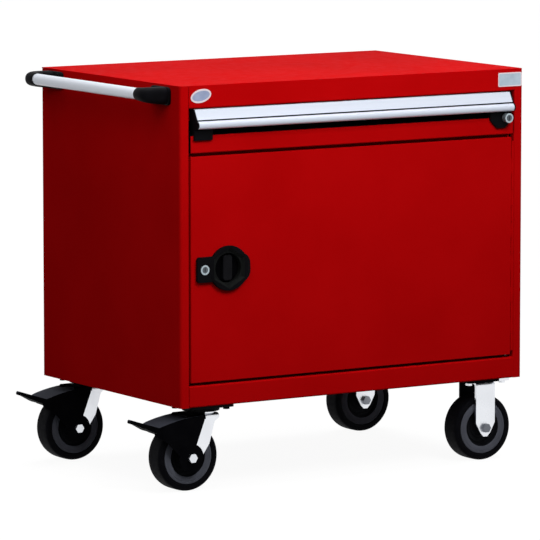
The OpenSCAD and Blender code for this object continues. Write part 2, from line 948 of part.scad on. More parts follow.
module door_lock_barrel() {
    color(zinc) in_frame() {
        lock_barrel(lock_x, knob_z, front_y - rosette_t - 1, front_y - rosette_t + 1, door_back_y);
    }
}

module door_lock_plug() {
    color(zinc) in_frame() lock_plug(lock_x, knob_z, front_y - rosette_t - 0.6, door_cam_y);
}

module door_lock_cam() {
    color(steel) in_frame() lock_cam(lock_x, knob_z, door_cam_y, cam_reach);
}

module drawer_lock_barrel() {
    color(zinc) in_frame() lock_barrel(
        drawer_lock_x, drawer_lock_z,
        front_y - drawer_lock_out, front_y - bracket_face, drawer_cam_y - 0.5
    );
}

module drawer_lock_plug() {
    color(zinc) in_frame() {
        lock_plug(drawer_lock_x, drawer_lock_z, front_y - drawer_lock_out + 0.4, drawer_cam_y);
    }
}

module drawer_lock_cam() {
    color(steel) in_frame() lock_cam(drawer_lock_x, drawer_lock_z, drawer_cam_y, drawer_cam_reach);
}

// Drawer

module drawer_box() {
    color(paint) in_frame() difference() {
        block([-box_half, box_y, box_z0], [box_half, box_y + box_d, box_z0 + box_h]);
        block(
            [-box_half + box_t, box_y + box_t, box_z0 + box_t],
            [box_half - box_t, box_y + box_d - box_t, box_z0 + box_h + 1]
        );
    }
}

recess_rise = 14;
rear_lip = 18;

// Folded sheet with the finger recess along its upper half, and end plates of the same outline
module drawer_front() {
    crease_z = drawer_z0 + flush_h;
    corners = [
        [box_y, drawer_z0 + rear_lip],
        [box_y, drawer_z0],
        [front_y, drawer_z0],
        [front_y, crease_z],
        [front_y + recess_d, crease_z + recess_rise],
        [front_y + recess_d, drawer_z1],
        [box_y, drawer_z1],
        [box_y, drawer_z1 - rear_lip]
    ];
    bends = [bend_r, bend_r, 1.5 * bend_r, 1.5 * bend_r, bend_r, bend_r];
    outline = folded_path(corners, bends);
    color(paint) in_frame() difference() {
        union() {
            along_x(2 * drawer_half) folded_sheet(corners, bends, sheet_t);
            both_sides() translate([drawer_half - sheet_t / 2, 0, 0]) along_x(sheet_t) {
                polygon([for (i = [len(outline) - 1:-1:0]) outline[i]]);
            }
        }
        rod_along_y(drawer_lock_x, drawer_lock_z, front_y - 1, box_y, lock_r - 1.7);
        block(
            [drawer_half - 2 * sheet_t, drawer_cam_y - 1.5, drawer_lock_z - cam_w / 2 - 1],
            [drawer_half + 1, box_y + 1, drawer_lock_z + drawer_cam_reach]
        );
    }
}

// The pull's section, in [distance out of the front face, height from the drawer's top edge]
module pull_section() {
    back = -recess_d;
    web_h = 22;
    face_top = [0.5, 0];
    face_low = [pull_grip_y + 1.5, pull_grip_z + pull_r - 0.3];
    difference() {
        union() {
            polygon([
                [back, 0],
                [back, -web_h],
                [back + pull_t, -web_h],
                [back + pull_t, -pull_t],
                [-1.2, -pull_t],
                face_low - [4, 1.5],
                face_low,
                face_top
            ]);
            translate([pull_grip_y, pull_grip_z]) circle(pull_r);
        }
        translate([pull_grip_y, pull_grip_z]) circle(pull_r - pull_t);
    }
}

// Puts a section drawn as [out, height] at the drawer's front, along X
module at_pull(x0, x1) {
    translate([(x0 + x1) / 2, front_y, drawer_z1]) mirror([0, 1, 0]) along_x(x1 - x0) children();
}

module drawer_pull() {
    color(zinc) in_frame() at_pull(-pull_l / 2, pull_l / 2) pull_section();
}

// Cheek that closes the pull's end
module pull_cheek() {
    polygon([
        [-recess_d + 1, -slip_gap],
        [-recess_d + 1, -pull_h],
        [pull_grip_y, -pull_h],
        [pull_grip_y + 1.5, pull_grip_z + pull_r],
        [0.5, -slip_gap]
    ]);
    translate([pull_grip_y, pull_grip_z]) circle(pull_r);
}

// Bracket under the pull: fills the end of the finger recess and laps the flush strip below it
module pull_bracket_section(low) {
    crease = flush_h - drawer_front_h;
    back = -recess_d + pull_t + slip_gap;
    rise = crease + recess_rise * (-back) / recess_d;
    polygon([
        [back, -pull_h + 12],
        [pull_grip_y - pull_r - slip_gap, -pull_h + 14],
        [pull_grip_y - pull_r - slip_gap, -pull_h - 1],
        [bracket_face, -pull_h - 3],
        [bracket_face, low],
        [slip_gap, low],
        [slip_gap, crease + slip_gap],
        [back, rise + 2]
    ]);
}

module pull_brackets() {
    cheek_t = 3;
    end = pull_l / 2 + slip_gap;
    left_low = -drawer_front_h + 29;
    right_low = -drawer_front_h + 16;
    chamfer = 26;
    color(black) in_frame() {
        at_pull(-end - cheek_t, -end) pull_cheek();
        at_pull(-end - cheek_t, -end + left_bracket_w) pull_bracket_section(left_low);
        at_pull(end, end + cheek_t) pull_cheek();
        difference() {
            at_pull(end - right_bracket_w, end + cheek_t) pull_bracket_section(right_low);
            rod_along_y(drawer_lock_x, drawer_lock_z, front_y - 30, front_y + 30, lock_r - 1.7);
            for (x = [end - right_bracket_w, end + cheek_t]) {
                translate([x, front_y, drawer_z1 + right_low]) rotate([0, 45, 0]) {
                    cube([chamfer, 60, chamfer], center = true);
                }
            }
        }
    }
}

// Casters

module caster_plate() {
    difference() {
        translate([0, 0, plate_z]) linear_extrude(plate_t) rounded_rect([plate_l, plate_w], 6);
        at_bolts() bolt_hole(plate_z, base_z);
    }
}

module caster_bolts() {
    shank_top = base_z + sheet_t + backing_t + 10;
    color(zinc) in_frame() at_casters() at_bolts() {
        translate([0, 0, plate_z - bolt_head_h]) cylinder(d = bolt_hex / cos(30), h = bolt_head_h, $fn = 6);
        translate([0, 0, plate_z - 0.01]) cylinder(r = bolt_r, h = shank_top - plate_z);
        translate([0, 0, shank_top - 10]) cylinder(d = bolt_hex / cos(30), h = 8, $fn = 6);
    }
}

// Plate and king pin of the two swivel casters, with the pin's nut under the fork's crown
module swivel_caster_plates() {
    nut_h = 7;
    pin_low = crown_z - nut_h - slip_gap;
    color(zinc) in_frame() for (side = [-1, 1]) {
        translate([-caster_x, side * caster_y, 0]) {
            caster_plate();
            translate([0, 0, pin_low]) cylinder(r = king_r, h = plate_z - pin_low + 0.01);
            translate([0, 0, pin_low]) cylinder(d = 16 / cos(30), h = nut_h, $fn = 6);
        }
    }
}

module swivel_heads() {
    color(black) in_frame() for (side = [-1, 1]) {
        translate([-caster_x, side * caster_y, head_z]) difference() {
            cylinder(r = head_r, h = plate_z - head_z);
            translate([0, 0, -1]) cylinder(r = king_r + slip_gap, h = plate_z);
        }
    }
}

// Section of the bent plate that straddles a wheel: two legs and a crown
module fork_bend(top, bend) {
    folded_sheet(
        [[-leg_out, -wheel_r], [-leg_out, top], [leg_out, top], [leg_out, -wheel_r]],
        [bend, bend],
        fork_t
    );
}

// Side view of a swivel fork's legs, from the axle: [towards the king pin, up]
leg_foot_r = 19;
leg_heel = [-18, 6];
leg_toe = [30, 2];
leg_knee = [48, 28];
crown_back = 8;
crown_lead = 27;
crown_fillet = [12, 8];
crown_edge = 4;
crown_notch = 12;

module swivel_leg_outline() {
    foot = leg_foot_r * cos(45) - 0.4;
    crown_low = crown_z - wheel_r - crown_edge;
    polygon([
        [-crown_back, crown_top - wheel_r],
        leg_heel,
        [-foot, -foot],
        [foot, -foot],
        leg_toe,
        leg_knee,
        [trail + crown_lead, crown_low] - crown_fillet,
        [trail + crown_lead, crown_low],
        [trail + crown_lead, crown_top - wheel_r]
    ]);
    circle(leg_foot_r);
}

module swivel_fork() {
    color(zinc) {
        difference() {
            intersection() {
                along_x(4 * wheel_r) fork_bend(crown_top - wheel_r, 9);
                along_y(-leg_out - 1, leg_out + 1) swivel_leg_outline();
            }
            block(
                [-crown_notch, -fork_gap / 2, crown_z - wheel_r - crown_notch],
                [crown_notch, fork_gap / 2, crown_top - wheel_r + 1]
            );
            translate([trail, 0, 0]) cylinder(r = king_r + run_gap, h = 2 * wheel_r);
            rod_along_y(0, 0, -leg_out - 1, leg_out + 1, axle_r + run_gap);
        }
        difference() {
            translate([trail, 0, crown_top - wheel_r - 0.01]) {
                cylinder(r = race_r, h = head_z - crown_top - slip_gap);
            }
            translate([trail, 0, 0]) cylinder(r = king_r + run_gap, h = 2 * wheel_r);
        }
        rod_along_y(shoe_pin[0], shoe_pin[1], -leg_out + 1, leg_out - 1, shoe_pin_r);
    }
}

module rigid_leg_outline() {
    half = rigid_leg_w / 2;
    polygon([
        [-half, plate_z - wheel_r],
        [half, plate_z - wheel_r],
        [half, 12],
        [half / 2, -12],
        [half / 5, -20],
        [-half / 5, -20],
        [-half / 2, -12],
        [-half, 12]
    ]);
}

module rigid_caster_forks() {
    color(zinc) in_frame() for (side = [-1, 1]) {
        translate([caster_x, side * caster_y, 0]) {
            caster_plate();
            translate([0, 0, wheel_r]) difference() {
                intersection() {
                    along_x(rigid_leg_w) fork_bend(plate_z - wheel_r + 0.01, 11);
                    along_y(-leg_out - 1, leg_out + 1) rigid_leg_outline();
                }
                rod_along_y(0, 0, -leg_out - 1, leg_out + 1, axle_r + run_gap);
            }
        }
    }
}

// Axle bolt with its nut, seated at reach from the wheel's middle
module axle_bolt(reach) {
    rod_along_y(0, 0, -reach - 1, reach + axle_head_h + 2, axle_r);
    hex_along_y(0, 0, -reach - axle_head_h, -reach, axle_head_w);
    hex_along_y(0, 0, reach, reach + axle_head_h, axle_head_w);
}

module rigid_axle_bolts() {
    color(zinc) in_frame() for (side = [-1, 1]) {
        translate([caster_x, side * caster_y, wheel_r]) axle_bolt(leg_out);
    }
}

// Brake pedal, in side view from the axle: hood over the wheel, side plates, tongue to the left
hood_r = 348 * wheel_k;
hood_centre = [30, -256] * wheel_k;
hood_end = -84 * wheel_k;
hood_stop = -12 * wheel_k;
hood_low = 40 * wheel_k;
hood_size = [hood_stop - hood_end, 80 * wheel_k];
tongue_root = [-90, 62.5] * wheel_k;
tongue_join = [73.4, 59] * wheel_k;
lobe_r = 31 * wheel_k;
front_cheek = [[-89, 68], [-89, 55], [-58, 36]] * wheel_k;
rear_cheek = [[-84, 66], [-66, 53], [-50, 47]] * wheel_k;
cheek_top = [[26, 110], [-89, 110]] * wheel_k;
cheek_low = [[-29, 5], [10, 20], [34, 82]] * wheel_k;

module hood_disc(inset) {
    translate(hood_centre) circle(hood_r - inset, $fn = 180);
}

// Side plate of the pedal; the front one runs on under the tongue, the rear one is cut back
module pedal_side_outline(side) {
    intersection() {
        hood_disc(0);
        polygon(concat(cheek_top, side < 0 ? front_cheek : rear_cheek, cheek_low));
    }
    circle(lobe_r);
}

module tongue_outline() {
    polygon([
        [hood_end + 2, tongue_join[0]],
        pedal_tip + [1.4, pedal_tip_r - 0.3],
        pedal_tip + [2, -pedal_tip_r + 0.4],
        tongue_root,
        [hood_end + 2, tongue_join[1]]
    ]);
    translate(pedal_tip) circle(pedal_tip_r);
}

// Plan of the pedal: full width over the wheel, narrow and round at the tongue's tip
module pedal_plan() {
    root_half = pedal_out - 4;
    tip_half = 9;
    past_tip = pedal_tip[0] - pedal_tip_r - 1;
    polygon([
        [wheel_r, -pedal_out],
        [wheel_r, pedal_out],
        [hood_end + 12, pedal_out],
        [hood_end - 5, root_half],
        [pedal_tip[0] + 6, tip_half],
        [past_tip, tip_half - 4],
        [past_tip, -tip_half + 4],
        [pedal_tip[0] + 6, -tip_half],
        [hood_end - 5, -root_half],
        [hood_end + 12, -pedal_out]
    ]);
}

shoe_in = wheel_r + 2.8;
shoe_out = shoe_in + 6.5;
cam_rib = [113, 119];

module brake_pedal() {
    color(black) difference() {
        intersection() {
            union() {
                for (side = [-1, 1]) {
                    along_y(min(side * pedal_y, side * pedal_out), max(side * pedal_y, side * pedal_out)) {
                        pedal_side_outline(side);
                    }
                }
                along_y(-pedal_out, pedal_out) intersection() {
                    difference() {
                        hood_disc(0);
                        hood_disc(pedal_t);
                    }
                    translate([hood_end, hood_low]) square(hood_size);
                }
                along_y(-pedal_out, pedal_out) tongue_outline();
                along_y(-shoe_half, shoe_half) intersection() {
                    polygon([
                        polar(cam_rib[0], shoe_out + 0.5),
                        polar(cam_rib[0], 1.4 * shoe_out),
                        polar(cam_rib[1], 1.4 * shoe_out),
                        polar(cam_rib[1], shoe_out + 0.5)
                    ]);
                    hood_disc(pedal_t / 2);
                }
            }
            translate([0, 0, -wheel_r]) linear_extrude(3 * wheel_r) pedal_plan();
        }
        rod_along_y(0, 0, -pedal_out - 1, pedal_out + 1, axle_r + run_gap);
    }
}

// Brake shoe: lever on a pin between the fork's ears, with a pad that follows the tread
module brake_shoe() {
    pad = [96, 136];
    ramp = 122;
    color(steel) difference() {
        along_y(-shoe_half, shoe_half) {
            polygon(concat(
                [for (i = [0:6]) polar(pad[0] + (ramp - pad[0]) * i / 6, shoe_out)],
                [polar(pad[1], shoe_out + 2)],
                [for (i = [1:10]) polar(pad[1] + (pad[0] - pad[1]) * i / 10, shoe_in)]
            ));
            translate(shoe_pin) circle(shoe_pin_r + 2.5);
            polygon([
                polar(pad[0] + 3, shoe_in),
                shoe_pin - [0, shoe_pin_r],
                shoe_pin + [0, shoe_pin_r + 2],
                polar(pad[0] + 3, shoe_out)
            ]);
        }
        rod_along_y(shoe_pin[0], shoe_pin[1], -shoe_half - 1, shoe_half + 1, shoe_pin_r + run_gap);
    }
}

// Wheel, with its axle along Y through the origin

shoulder_r = 4;

module wheel_tread() {
    half = wheel_w / 2;
    inside = core_r + run_gap;
    color(black) rotate([90, 0, 0]) rotate_extrude($fn = 96) {
        translate([inside, -half]) square([wheel_r - shoulder_r - inside, wheel_w]);
        translate([inside, -half + shoulder_r]) square([wheel_r - inside, wheel_w - 2 * shoulder_r]);
        for (y = [-1, 1]) {
            translate([wheel_r - shoulder_r, y * (half - shoulder_r)]) circle(shoulder_r);
        }
    }
}

hub_out_r = 17;
rib_count = 8;

module wheel_core() {
    rim_half = wheel_w / 2 - 1.5;
    web_half = 6;
    rib_half = rim_half - 7;
    hub_half = fork_gap / 2 - slip_gap;
    color(core_grey) difference() {
        union() {
            rotate([90, 0, 0]) rotate_extrude($fn = 96) {
                translate([rim_r, -rim_half]) square([core_r - rim_r, 2 * rim_half]);
                translate([hub_out_r - 2, -web_half]) square([rim_r - hub_out_r + 4, 2 * web_half]);
                translate([axle_r, -hub_half]) square([hub_out_r - axle_r, 2 * hub_half]);
            }
            for (i = [0:rib_count - 1]) {
                rotate([0, i * 360 / rib_count, 0]) {
                    block([hub_out_r - 2, -rib_half, -2], [rim_r + 2, rib_half, 2]);
                }
            }
        }
        rod_along_y(0, 0, -hub_half - 1, hub_half + 1, axle_r + run_gap);
    }
}

// Places for what turns about a wheel's axle

module at_swivel_axle(side) {
    in_frame() translate([-caster_x - trail, side * caster_y, wheel_r]) children();
}

module at_rigid_axle(side) {
    in_frame() translate([caster_x, side * caster_y, wheel_r]) children();
}

module front_swivel_fork() { at_swivel_axle(-1) swivel_fork(); }
module rear_swivel_fork() { at_swivel_axle(1) swivel_fork(); }
module front_brake_pedal() { at_swivel_axle(-1) brake_pedal(); }
module rear_brake_pedal() { at_swivel_axle(1) brake_pedal(); }
module front_brake_shoe() { at_swivel_axle(-1) brake_shoe(); }
module rear_brake_shoe() { at_swivel_axle(1) brake_shoe(); }
module front_swivel_axle() { color(zinc) at_swivel_axle(-1) axle_bolt(pedal_out + slip_gap); }
module rear_swivel_axle() { color(zinc) at_swivel_axle(1) axle_bolt(pedal_out + slip_gap); }
module front_left_tread() { at_swivel_axle(-1) wheel_tread(); }
module front_left_core() { at_swivel_axle(-1) wheel_core(); }
module rear_left_tread() { at_swivel_axle(1) wheel_tread(); }
module rear_left_core() { at_swivel_axle(1) wheel_core(); }
module front_right_tread() { at_rigid_axle(-1) wheel_tread(); }
module front_right_core() { at_rigid_axle(-1) wheel_core(); }
module rear_right_tread() { at_rigid_axle(1) wheel_tread(); }
module rear_right_core() { at_rigid_axle(1) wheel_core(); }

left_side_panel();
right_side_panel();
back_panel();
top_panel();
base_pan();
caster_backing_plates();
cupboard_floor();
drawer_partition();
latch_keeper_strip();
slotted_uprights();
adjustable_shelf();
shelf_clips();
push_handle_tube();
push_handle_brackets();
push_handle_screws();
drawer_slide_rails();
hinge_frame_leaf();
hinge_pin();
caster_bolts();
swivel_caster_plates();
swivel_heads();
rigid_caster_forks();
rigid_axle_bolts();
drawer_box();
drawer_front();
drawer_pull();
pull_brackets();
drawer_lock_barrel();
drawer_slide_runners();
drawer_lock_plug();
drawer_lock_cam();
drawer_slide_middles();
door_panel();
door_inner_panel();
hinge_door_leaf();
door_rosette();
door_lock_barrel();
rod_guides();
door_knob();
latch_hub();
upper_latch_rod();
lower_latch_rod();
door_lock_plug();
door_lock_cam();
front_swivel_fork();
rear_swivel_fork();
front_brake_pedal();
rear_brake_pedal();
front_brake_shoe();
rear_brake_shoe();
front_swivel_axle();
rear_swivel_axle();
front_left_tread();
front_left_core();
rear_left_tread();
rear_left_core();
front_right_tread();
front_right_core();
rear_right_tread();
rear_right_core();
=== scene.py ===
import functools
import json
import math

import bmesh
import bpy
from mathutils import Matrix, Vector

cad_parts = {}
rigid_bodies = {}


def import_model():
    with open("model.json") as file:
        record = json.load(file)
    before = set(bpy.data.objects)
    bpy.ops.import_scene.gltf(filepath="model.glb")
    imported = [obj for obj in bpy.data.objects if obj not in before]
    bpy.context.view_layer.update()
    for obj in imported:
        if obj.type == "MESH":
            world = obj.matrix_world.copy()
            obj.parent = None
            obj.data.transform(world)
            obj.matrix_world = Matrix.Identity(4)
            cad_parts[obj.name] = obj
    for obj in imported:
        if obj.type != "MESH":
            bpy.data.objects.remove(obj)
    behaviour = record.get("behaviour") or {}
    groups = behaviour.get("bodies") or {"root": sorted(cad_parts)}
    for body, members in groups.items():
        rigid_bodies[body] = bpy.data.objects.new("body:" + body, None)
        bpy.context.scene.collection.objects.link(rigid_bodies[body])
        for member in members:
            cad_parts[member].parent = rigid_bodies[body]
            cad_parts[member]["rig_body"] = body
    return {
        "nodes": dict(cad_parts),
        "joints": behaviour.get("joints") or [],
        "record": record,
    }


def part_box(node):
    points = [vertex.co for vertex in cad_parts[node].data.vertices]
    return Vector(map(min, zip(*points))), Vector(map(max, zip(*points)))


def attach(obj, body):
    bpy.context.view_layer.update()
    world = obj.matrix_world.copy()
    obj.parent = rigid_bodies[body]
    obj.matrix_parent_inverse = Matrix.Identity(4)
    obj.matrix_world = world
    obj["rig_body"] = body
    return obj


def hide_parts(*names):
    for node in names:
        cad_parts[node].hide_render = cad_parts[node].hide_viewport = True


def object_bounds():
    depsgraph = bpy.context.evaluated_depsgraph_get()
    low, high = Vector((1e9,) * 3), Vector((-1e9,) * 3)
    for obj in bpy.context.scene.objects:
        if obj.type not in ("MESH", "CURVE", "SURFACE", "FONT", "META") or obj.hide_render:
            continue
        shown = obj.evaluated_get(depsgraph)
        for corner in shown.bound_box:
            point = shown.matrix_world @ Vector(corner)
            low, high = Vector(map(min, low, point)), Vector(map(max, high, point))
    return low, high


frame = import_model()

CAD_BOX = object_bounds()
NODES = frame["nodes"]
SLOT_OF = {part["node"]: part["material_slot"] for part in frame["record"]["subparts"]}
PIVOT = {j["name"]: Vector(j["pos_m"]) for j in frame["joints"] if "pos_m" in j}

MM = 0.001

LEFT_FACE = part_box("left_side_panel")[0].x
RIGHT_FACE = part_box("right_side_panel")[1].x
FRONT_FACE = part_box("top_panel")[0].y
BACK_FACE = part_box("top_panel")[1].y
MIDDLE = Vector(((LEFT_FACE + RIGHT_FACE) / 2, (FRONT_FACE + BACK_FACE) / 2, 0.0))


# Materials

class Finish:
    """A Principled material whose colour, roughness and bump come from procedural textures."""

    def __init__(self, name, metallic=0.0, specular=0.5):
        self.material = bpy.data.materials.new(name)
        self.material.use_nodes = True
        self.tree = self.material.node_tree
        self.shader = self.tree.nodes["Principled BSDF"]
        self.shader.inputs["Metallic"].default_value = metallic
        self.shader.inputs["Specular IOR Level"].default_value = specular
        self.place = self.tree.nodes.new("ShaderNodeTexCoord").outputs["Object"]
        self.normal = None

    def stretched(self, scale):
        mapping = self.tree.nodes.new("ShaderNodeMapping")
        mapping.inputs["Scale"].default_value = scale
        self.tree.links.new(self.place, mapping.inputs["Vector"])
        return mapping.outputs["Vector"]

    def noise(self, scale, detail=3.0, stretch=None):
        texture = self.tree.nodes.new("ShaderNodeTexNoise")
        texture.inputs["Scale"].default_value = scale
        texture.inputs["Detail"].default_value = detail
        where = self.stretched(stretch) if stretch else self.place
        self.tree.links.new(where, texture.inputs["Vector"])
        return texture.outputs["Fac"]

    def cells(self, scale):
        texture = self.tree.nodes.new("ShaderNodeTexVoronoi")
        texture.inputs["Scale"].default_value = scale
        self.tree.links.new(self.place, texture.inputs["Vector"])
        return texture.outputs["Distance"]

    def colour(self, source, low, high, start=0.3, stop=0.7):
        ramp = self.tree.nodes.new("ShaderNodeValToRGB")
        ramp.color_ramp.elements[0].position = start
        ramp.color_ramp.elements[0].color = (*low, 1.0)
        ramp.color_ramp.elements[1].position = stop
        ramp.color_ramp.elements[1].color = (*high, 1.0)
        self.tree.links.new(source, ramp.inputs["Fac"])
        self.tree.links.new(ramp.outputs["Color"], self.shader.inputs["Base Color"])
        return self

    def roughness(self, source, low, high):
        spread = self.tree.nodes.new("ShaderNodeMapRange")
        spread.inputs["From Min"].default_value = 0.3
        spread.inputs["From Max"].default_value = 0.7
        spread.inputs["To Min"].default_value = low
        spread.inputs["To Max"].default_value = high
        self.tree.links.new(source, spread.inputs["Value"])
        self.tree.links.new(spread.outputs["Result"], self.shader.inputs["Roughness"])
        return self

    def bump(self, source, strength, height):
        bump = self.tree.nodes.new("ShaderNodeBump")
        bump.inputs["Strength"].default_value = strength
        bump.inputs["Distance"].default_value = height
        self.tree.links.new(source, bump.inputs["Height"])
        if self.normal:
            self.tree.links.new(self.normal, bump.inputs["Normal"])
        self.normal = bump.outputs["Normal"]
        self.tree.links.new(self.normal, self.shader.inputs["Normal"])
        return self

    def tint(self, mask, colour):
        """Lays a colour over the base colour where the mask is 1."""
        plain = self.shader.inputs["Base Color"].links[0].from_socket
        mix = self.tree.nodes.new("ShaderNodeMix")
        mix.data_type = "RGBA"
        self.tree.links.new(mask, mix.inputs["Factor"])
        self.tree.links.new(plain, mix.inputs["A"])
        mix.inputs["B"].default_value = (*colour, 1.0)
        self.tree.links.new(mix.outputs["Result"], self.shader.inputs["Base Color"])
        return self


def painted(name):
    """Powder coat: even red with a fine orange peel."""
    f = Finish(name, specular=0.0003)
    f.colour(f.noise(5.0, 5.0), (0.560, 0.0016, 0.0026), (0.625, 0.0026, 0.0038))
    f.roughness(f.noise(55.0), 0.34, 0.46)
    return f.bump(f.noise(420.0, 2.0), 0.10, 0.0004)


def bare(name, low, high, rough, grain=None, scale=90.0, tone=(1.0, 1.0, 1.0), metallic=1.0):
    """Bare or plated metal; grain stretches its scratches and tone its colour streaks along an axis."""
    f = Finish(name, metallic=metallic)
    f.colour(f.noise(scale * 0.25, 4.0, tone), low, high)
    f.roughness(f.noise(scale, 3.0, grain), *rough)
    return f.bump(f.noise(scale * 6.0, 2.0, grain), 0.05, 0.0002)


def metal(*values, **options):
    return bare(*values, **options).material


def moulding(name, low, high, rough, grain=1100.0, specular=0.03):
    """Moulded plastic or rubber with a fine grain."""
    f = Finish(name, specular=specular)
    f.colour(f.noise(35.0, 4.0), low, high)
    f.roughness(f.noise(120.0), *rough)
    return f.bump(f.cells(grain), 0.12, 0.0002).material


# Black for parts that are black, and for painted shade where a mask stands in for shade
BLACK = (0.003, 0.003, 0.004)
PEDAL_TOP_SHEEN = (0.040, 0.044, 0.056)
BLACK_SPECULAR = 0.01
ZINC = dict(low=(0.74, 0.76, 0.80), high=(0.84, 0.86, 0.90), rough=(0.26, 0.38), scale=60.0)


def black_or_shade(f, *boxes):
    """The finish, black inside any of the boxes, both for parts that are black and for painted shade; a
    box is a list of limits: axis, sign and level.
    """
    nodes, links = f.tree.nodes, f.tree.links
    axes = nodes.new("ShaderNodeSeparateXYZ")
    links.new(f.place, axes.inputs["Vector"])

    def joined(operation, first, second):
        node = nodes.new("ShaderNodeMath")
        node.operation = operation
        links.new(first, node.inputs[0])
        links.new(second, node.inputs[1])
        return node.outputs[0]

    def past(axis, sign, level):
        node = nodes.new("ShaderNodeMath")
        node.operation = "GREATER_THAN" if sign > 0 else "LESS_THAN"
        node.inputs[1].default_value = level
        links.new(axes.outputs[axis], node.inputs[0])
        return node.outputs[0]

    def inside(box):
        limits = [past(*limit) for limit in box]
        return functools.reduce(functools.partial(joined, "MULTIPLY"), limits)

    mask = functools.reduce(functools.partial(joined, "MAXIMUM"), [inside(box) for box in boxes])
    f.tint(mask, BLACK)
    metallic = f.shader.inputs["Metallic"].default_value
    if metallic > 0:
        f.shader.inputs["Specular IOR Level"].default_value = BLACK_SPECULAR
        bare_metal = nodes.new("ShaderNodeMapRange")
        bare_metal.inputs["To Min"].default_value = metallic
        bare_metal.inputs["To Max"].default_value = 0.0
        links.new(mask, bare_metal.inputs["Value"])
        links.new(bare_metal.outputs["Result"], f.shader.inputs["Metallic"])
    return f.material


def pedal_black():
    """Black moulding with a painted sheen: greyer on the faces that look up."""
    f = Finish("pedal_black", specular=0.008)
    nodes, links = f.tree.nodes, f.tree.links
    f.colour(f.noise(35.0, 4.0), (0.002, 0.002, 0.003), (0.004, 0.004, 0.005))
    # Faces that look up take a lighter grey: a painted sheen
    axes = nodes.new("ShaderNodeSeparateXYZ")
    links.new(nodes.new("ShaderNodeNewGeometry").outputs["Normal"], axes.inputs["Vector"])
    up = nodes.new("ShaderNodeMapRange")
    up.inputs["From Min"].default_value = 0.45
    up.inputs["From Max"].default_value = 0.95
    links.new(axes.outputs["Z"], up.inputs["Value"])
    f.tint(up.outputs["Result"], PEDAL_TOP_SHEEN)
    f.roughness(f.noise(120.0), 0.50, 0.62)
    return f.bump(f.cells(1100.0), 0.12, 0.0002).material


# Texture scales that draw streaks out along an axis
ALONG_X = (0.02, 1.0, 1.0)
ALONG_Y = (1.0, 0.02, 1.0)

MATERIALS = {
    "red_paint": painted("red_paint").material,
    "dark_steel": metal("dark_steel", (0.30, 0.31, 0.32), (0.40, 0.41, 0.43), (0.34, 0.46)),
    "zinc": metal("zinc", **ZINC),
    "lock_chrome": metal(
        "lock_chrome", (0.40, 0.48, 0.53), (0.50, 0.58, 0.63), (0.30, 0.42), metallic=0.7
    ),
    "black_moulding": moulding(
        "black_moulding", (0.0025, 0.0025, 0.003), (0.0045, 0.0045, 0.006), (0.46, 0.58)
    ),
    "black_steel": moulding(
        "black_steel", (0.003, 0.003, 0.0035), (0.006, 0.006, 0.007), (0.38, 0.50), 600.0
    ),
    "pull_aluminium": metal(
        "pull_aluminium", (0.69, 0.75, 0.86), (0.75, 0.81, 0.92), (0.40, 0.52),
        ALONG_X, 260.0, ALONG_X, 0.3,
    ),
    "black_tread": moulding(
        "black_tread", (0.002, 0.002, 0.003), (0.0045, 0.0045, 0.006), (0.55, 0.70), 500.0
    ),
    "grey_core": moulding(
        "grey_core", (0.115, 0.121, 0.150), (0.138, 0.146, 0.178), (0.42, 0.55), 700.0
    ),
}
GRIP = moulding("grip", (0.006, 0.006, 0.007), (0.010, 0.010, 0.012), (0.42, 0.52))
DARK_BOLT = metal("dark_bolt", (0.14, 0.15, 0.17), (0.26, 0.27, 0.30), (0.30, 0.42))

# Limits of the black parts and of the painted shade, in mm
# Swivel fork's crown: its start below the fork's top, and left of the king pin
CROWN_DEPTH = 16.0
CROWN_OFFSET = 8.0
# Rigid fork's plate, painted shade: its start below the fork's top, and its end right of the axle
PLATE_SHADE_DEPTH = 6.2
PLATE_SHADE_REACH = 26.5
# Front rigid fork's inner leg, painted shade: its top below the fork's top, and its start behind the
# axle's middle
LEG_SHADE_DEPTH = 6.0
LEG_SHADE_OFFSET = 10.0
# Painted shade in the key slot: half width, half height, and its start behind the plug's face
SLOT_HALF_W = 0.85
SLOT_HALF_H = 4.05
SLOT_START = 0.05
# Painted shade in the finger recess under the pull: its start behind the front face, and its top below
# the drawer front's top edge
RECESS_SHADE_START = 1.6
RECESS_SHADE_DROP = 26.0


def swivel_fork(corner):
    """Zinc fork, black on the part of its crown that lies under the pedal's hood."""
    king = PIVOT[corner + "_swivel"]
    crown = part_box(corner + "_swivel_fork")[1].z - CROWN_DEPTH * MM
    hood = [("X", -1, king.x - CROWN_OFFSET * MM), ("Z", 1, crown)]
    return black_or_shade(bare(corner + "_fork_zinc", **ZINC), hood)


def rigid_forks():
    """Zinc forks with painted shade: black on the left part of their plates and on the front fork's
    inner leg, where shade falls under the cabinet.
    """
    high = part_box("rigid_caster_forks")[1]
    axle = PIVOT["front_right_wheel_spin"]
    plate = [("Z", 1, high.z - PLATE_SHADE_DEPTH * MM), ("X", -1, axle.x + PLATE_SHADE_REACH * MM)]
    inner_leg_shade = [
        ("Y", 1, axle.y + LEG_SHADE_OFFSET * MM), ("Y", -1, MIDDLE.y), ("Z", -1, high.z - LEG_SHADE_DEPTH * MM)
    ]
    return black_or_shade(bare("rigid_fork_zinc_shaded", **ZINC), plate, inner_leg_shade)


def keyed_plug(name, joint):
    """Dark chrome lock plug, black inside its key slot as painted shade."""
    axis, face = PIVOT[joint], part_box(name)[0].y
    slot = [
        ("X", 1, axis.x - SLOT_HALF_W * MM), ("X", -1, axis.x + SLOT_HALF_W * MM),
        ("Z", 1, axis.z - SLOT_HALF_H * MM), ("Z", -1, axis.z + SLOT_HALF_H * MM),
        ("Y", 1, face + SLOT_START * MM),
    ]
    chrome = bare(name + "_chrome", (0.075, 0.090, 0.105), (0.120, 0.135, 0.150), (0.28, 0.40))
    return black_or_shade(chrome, slot)


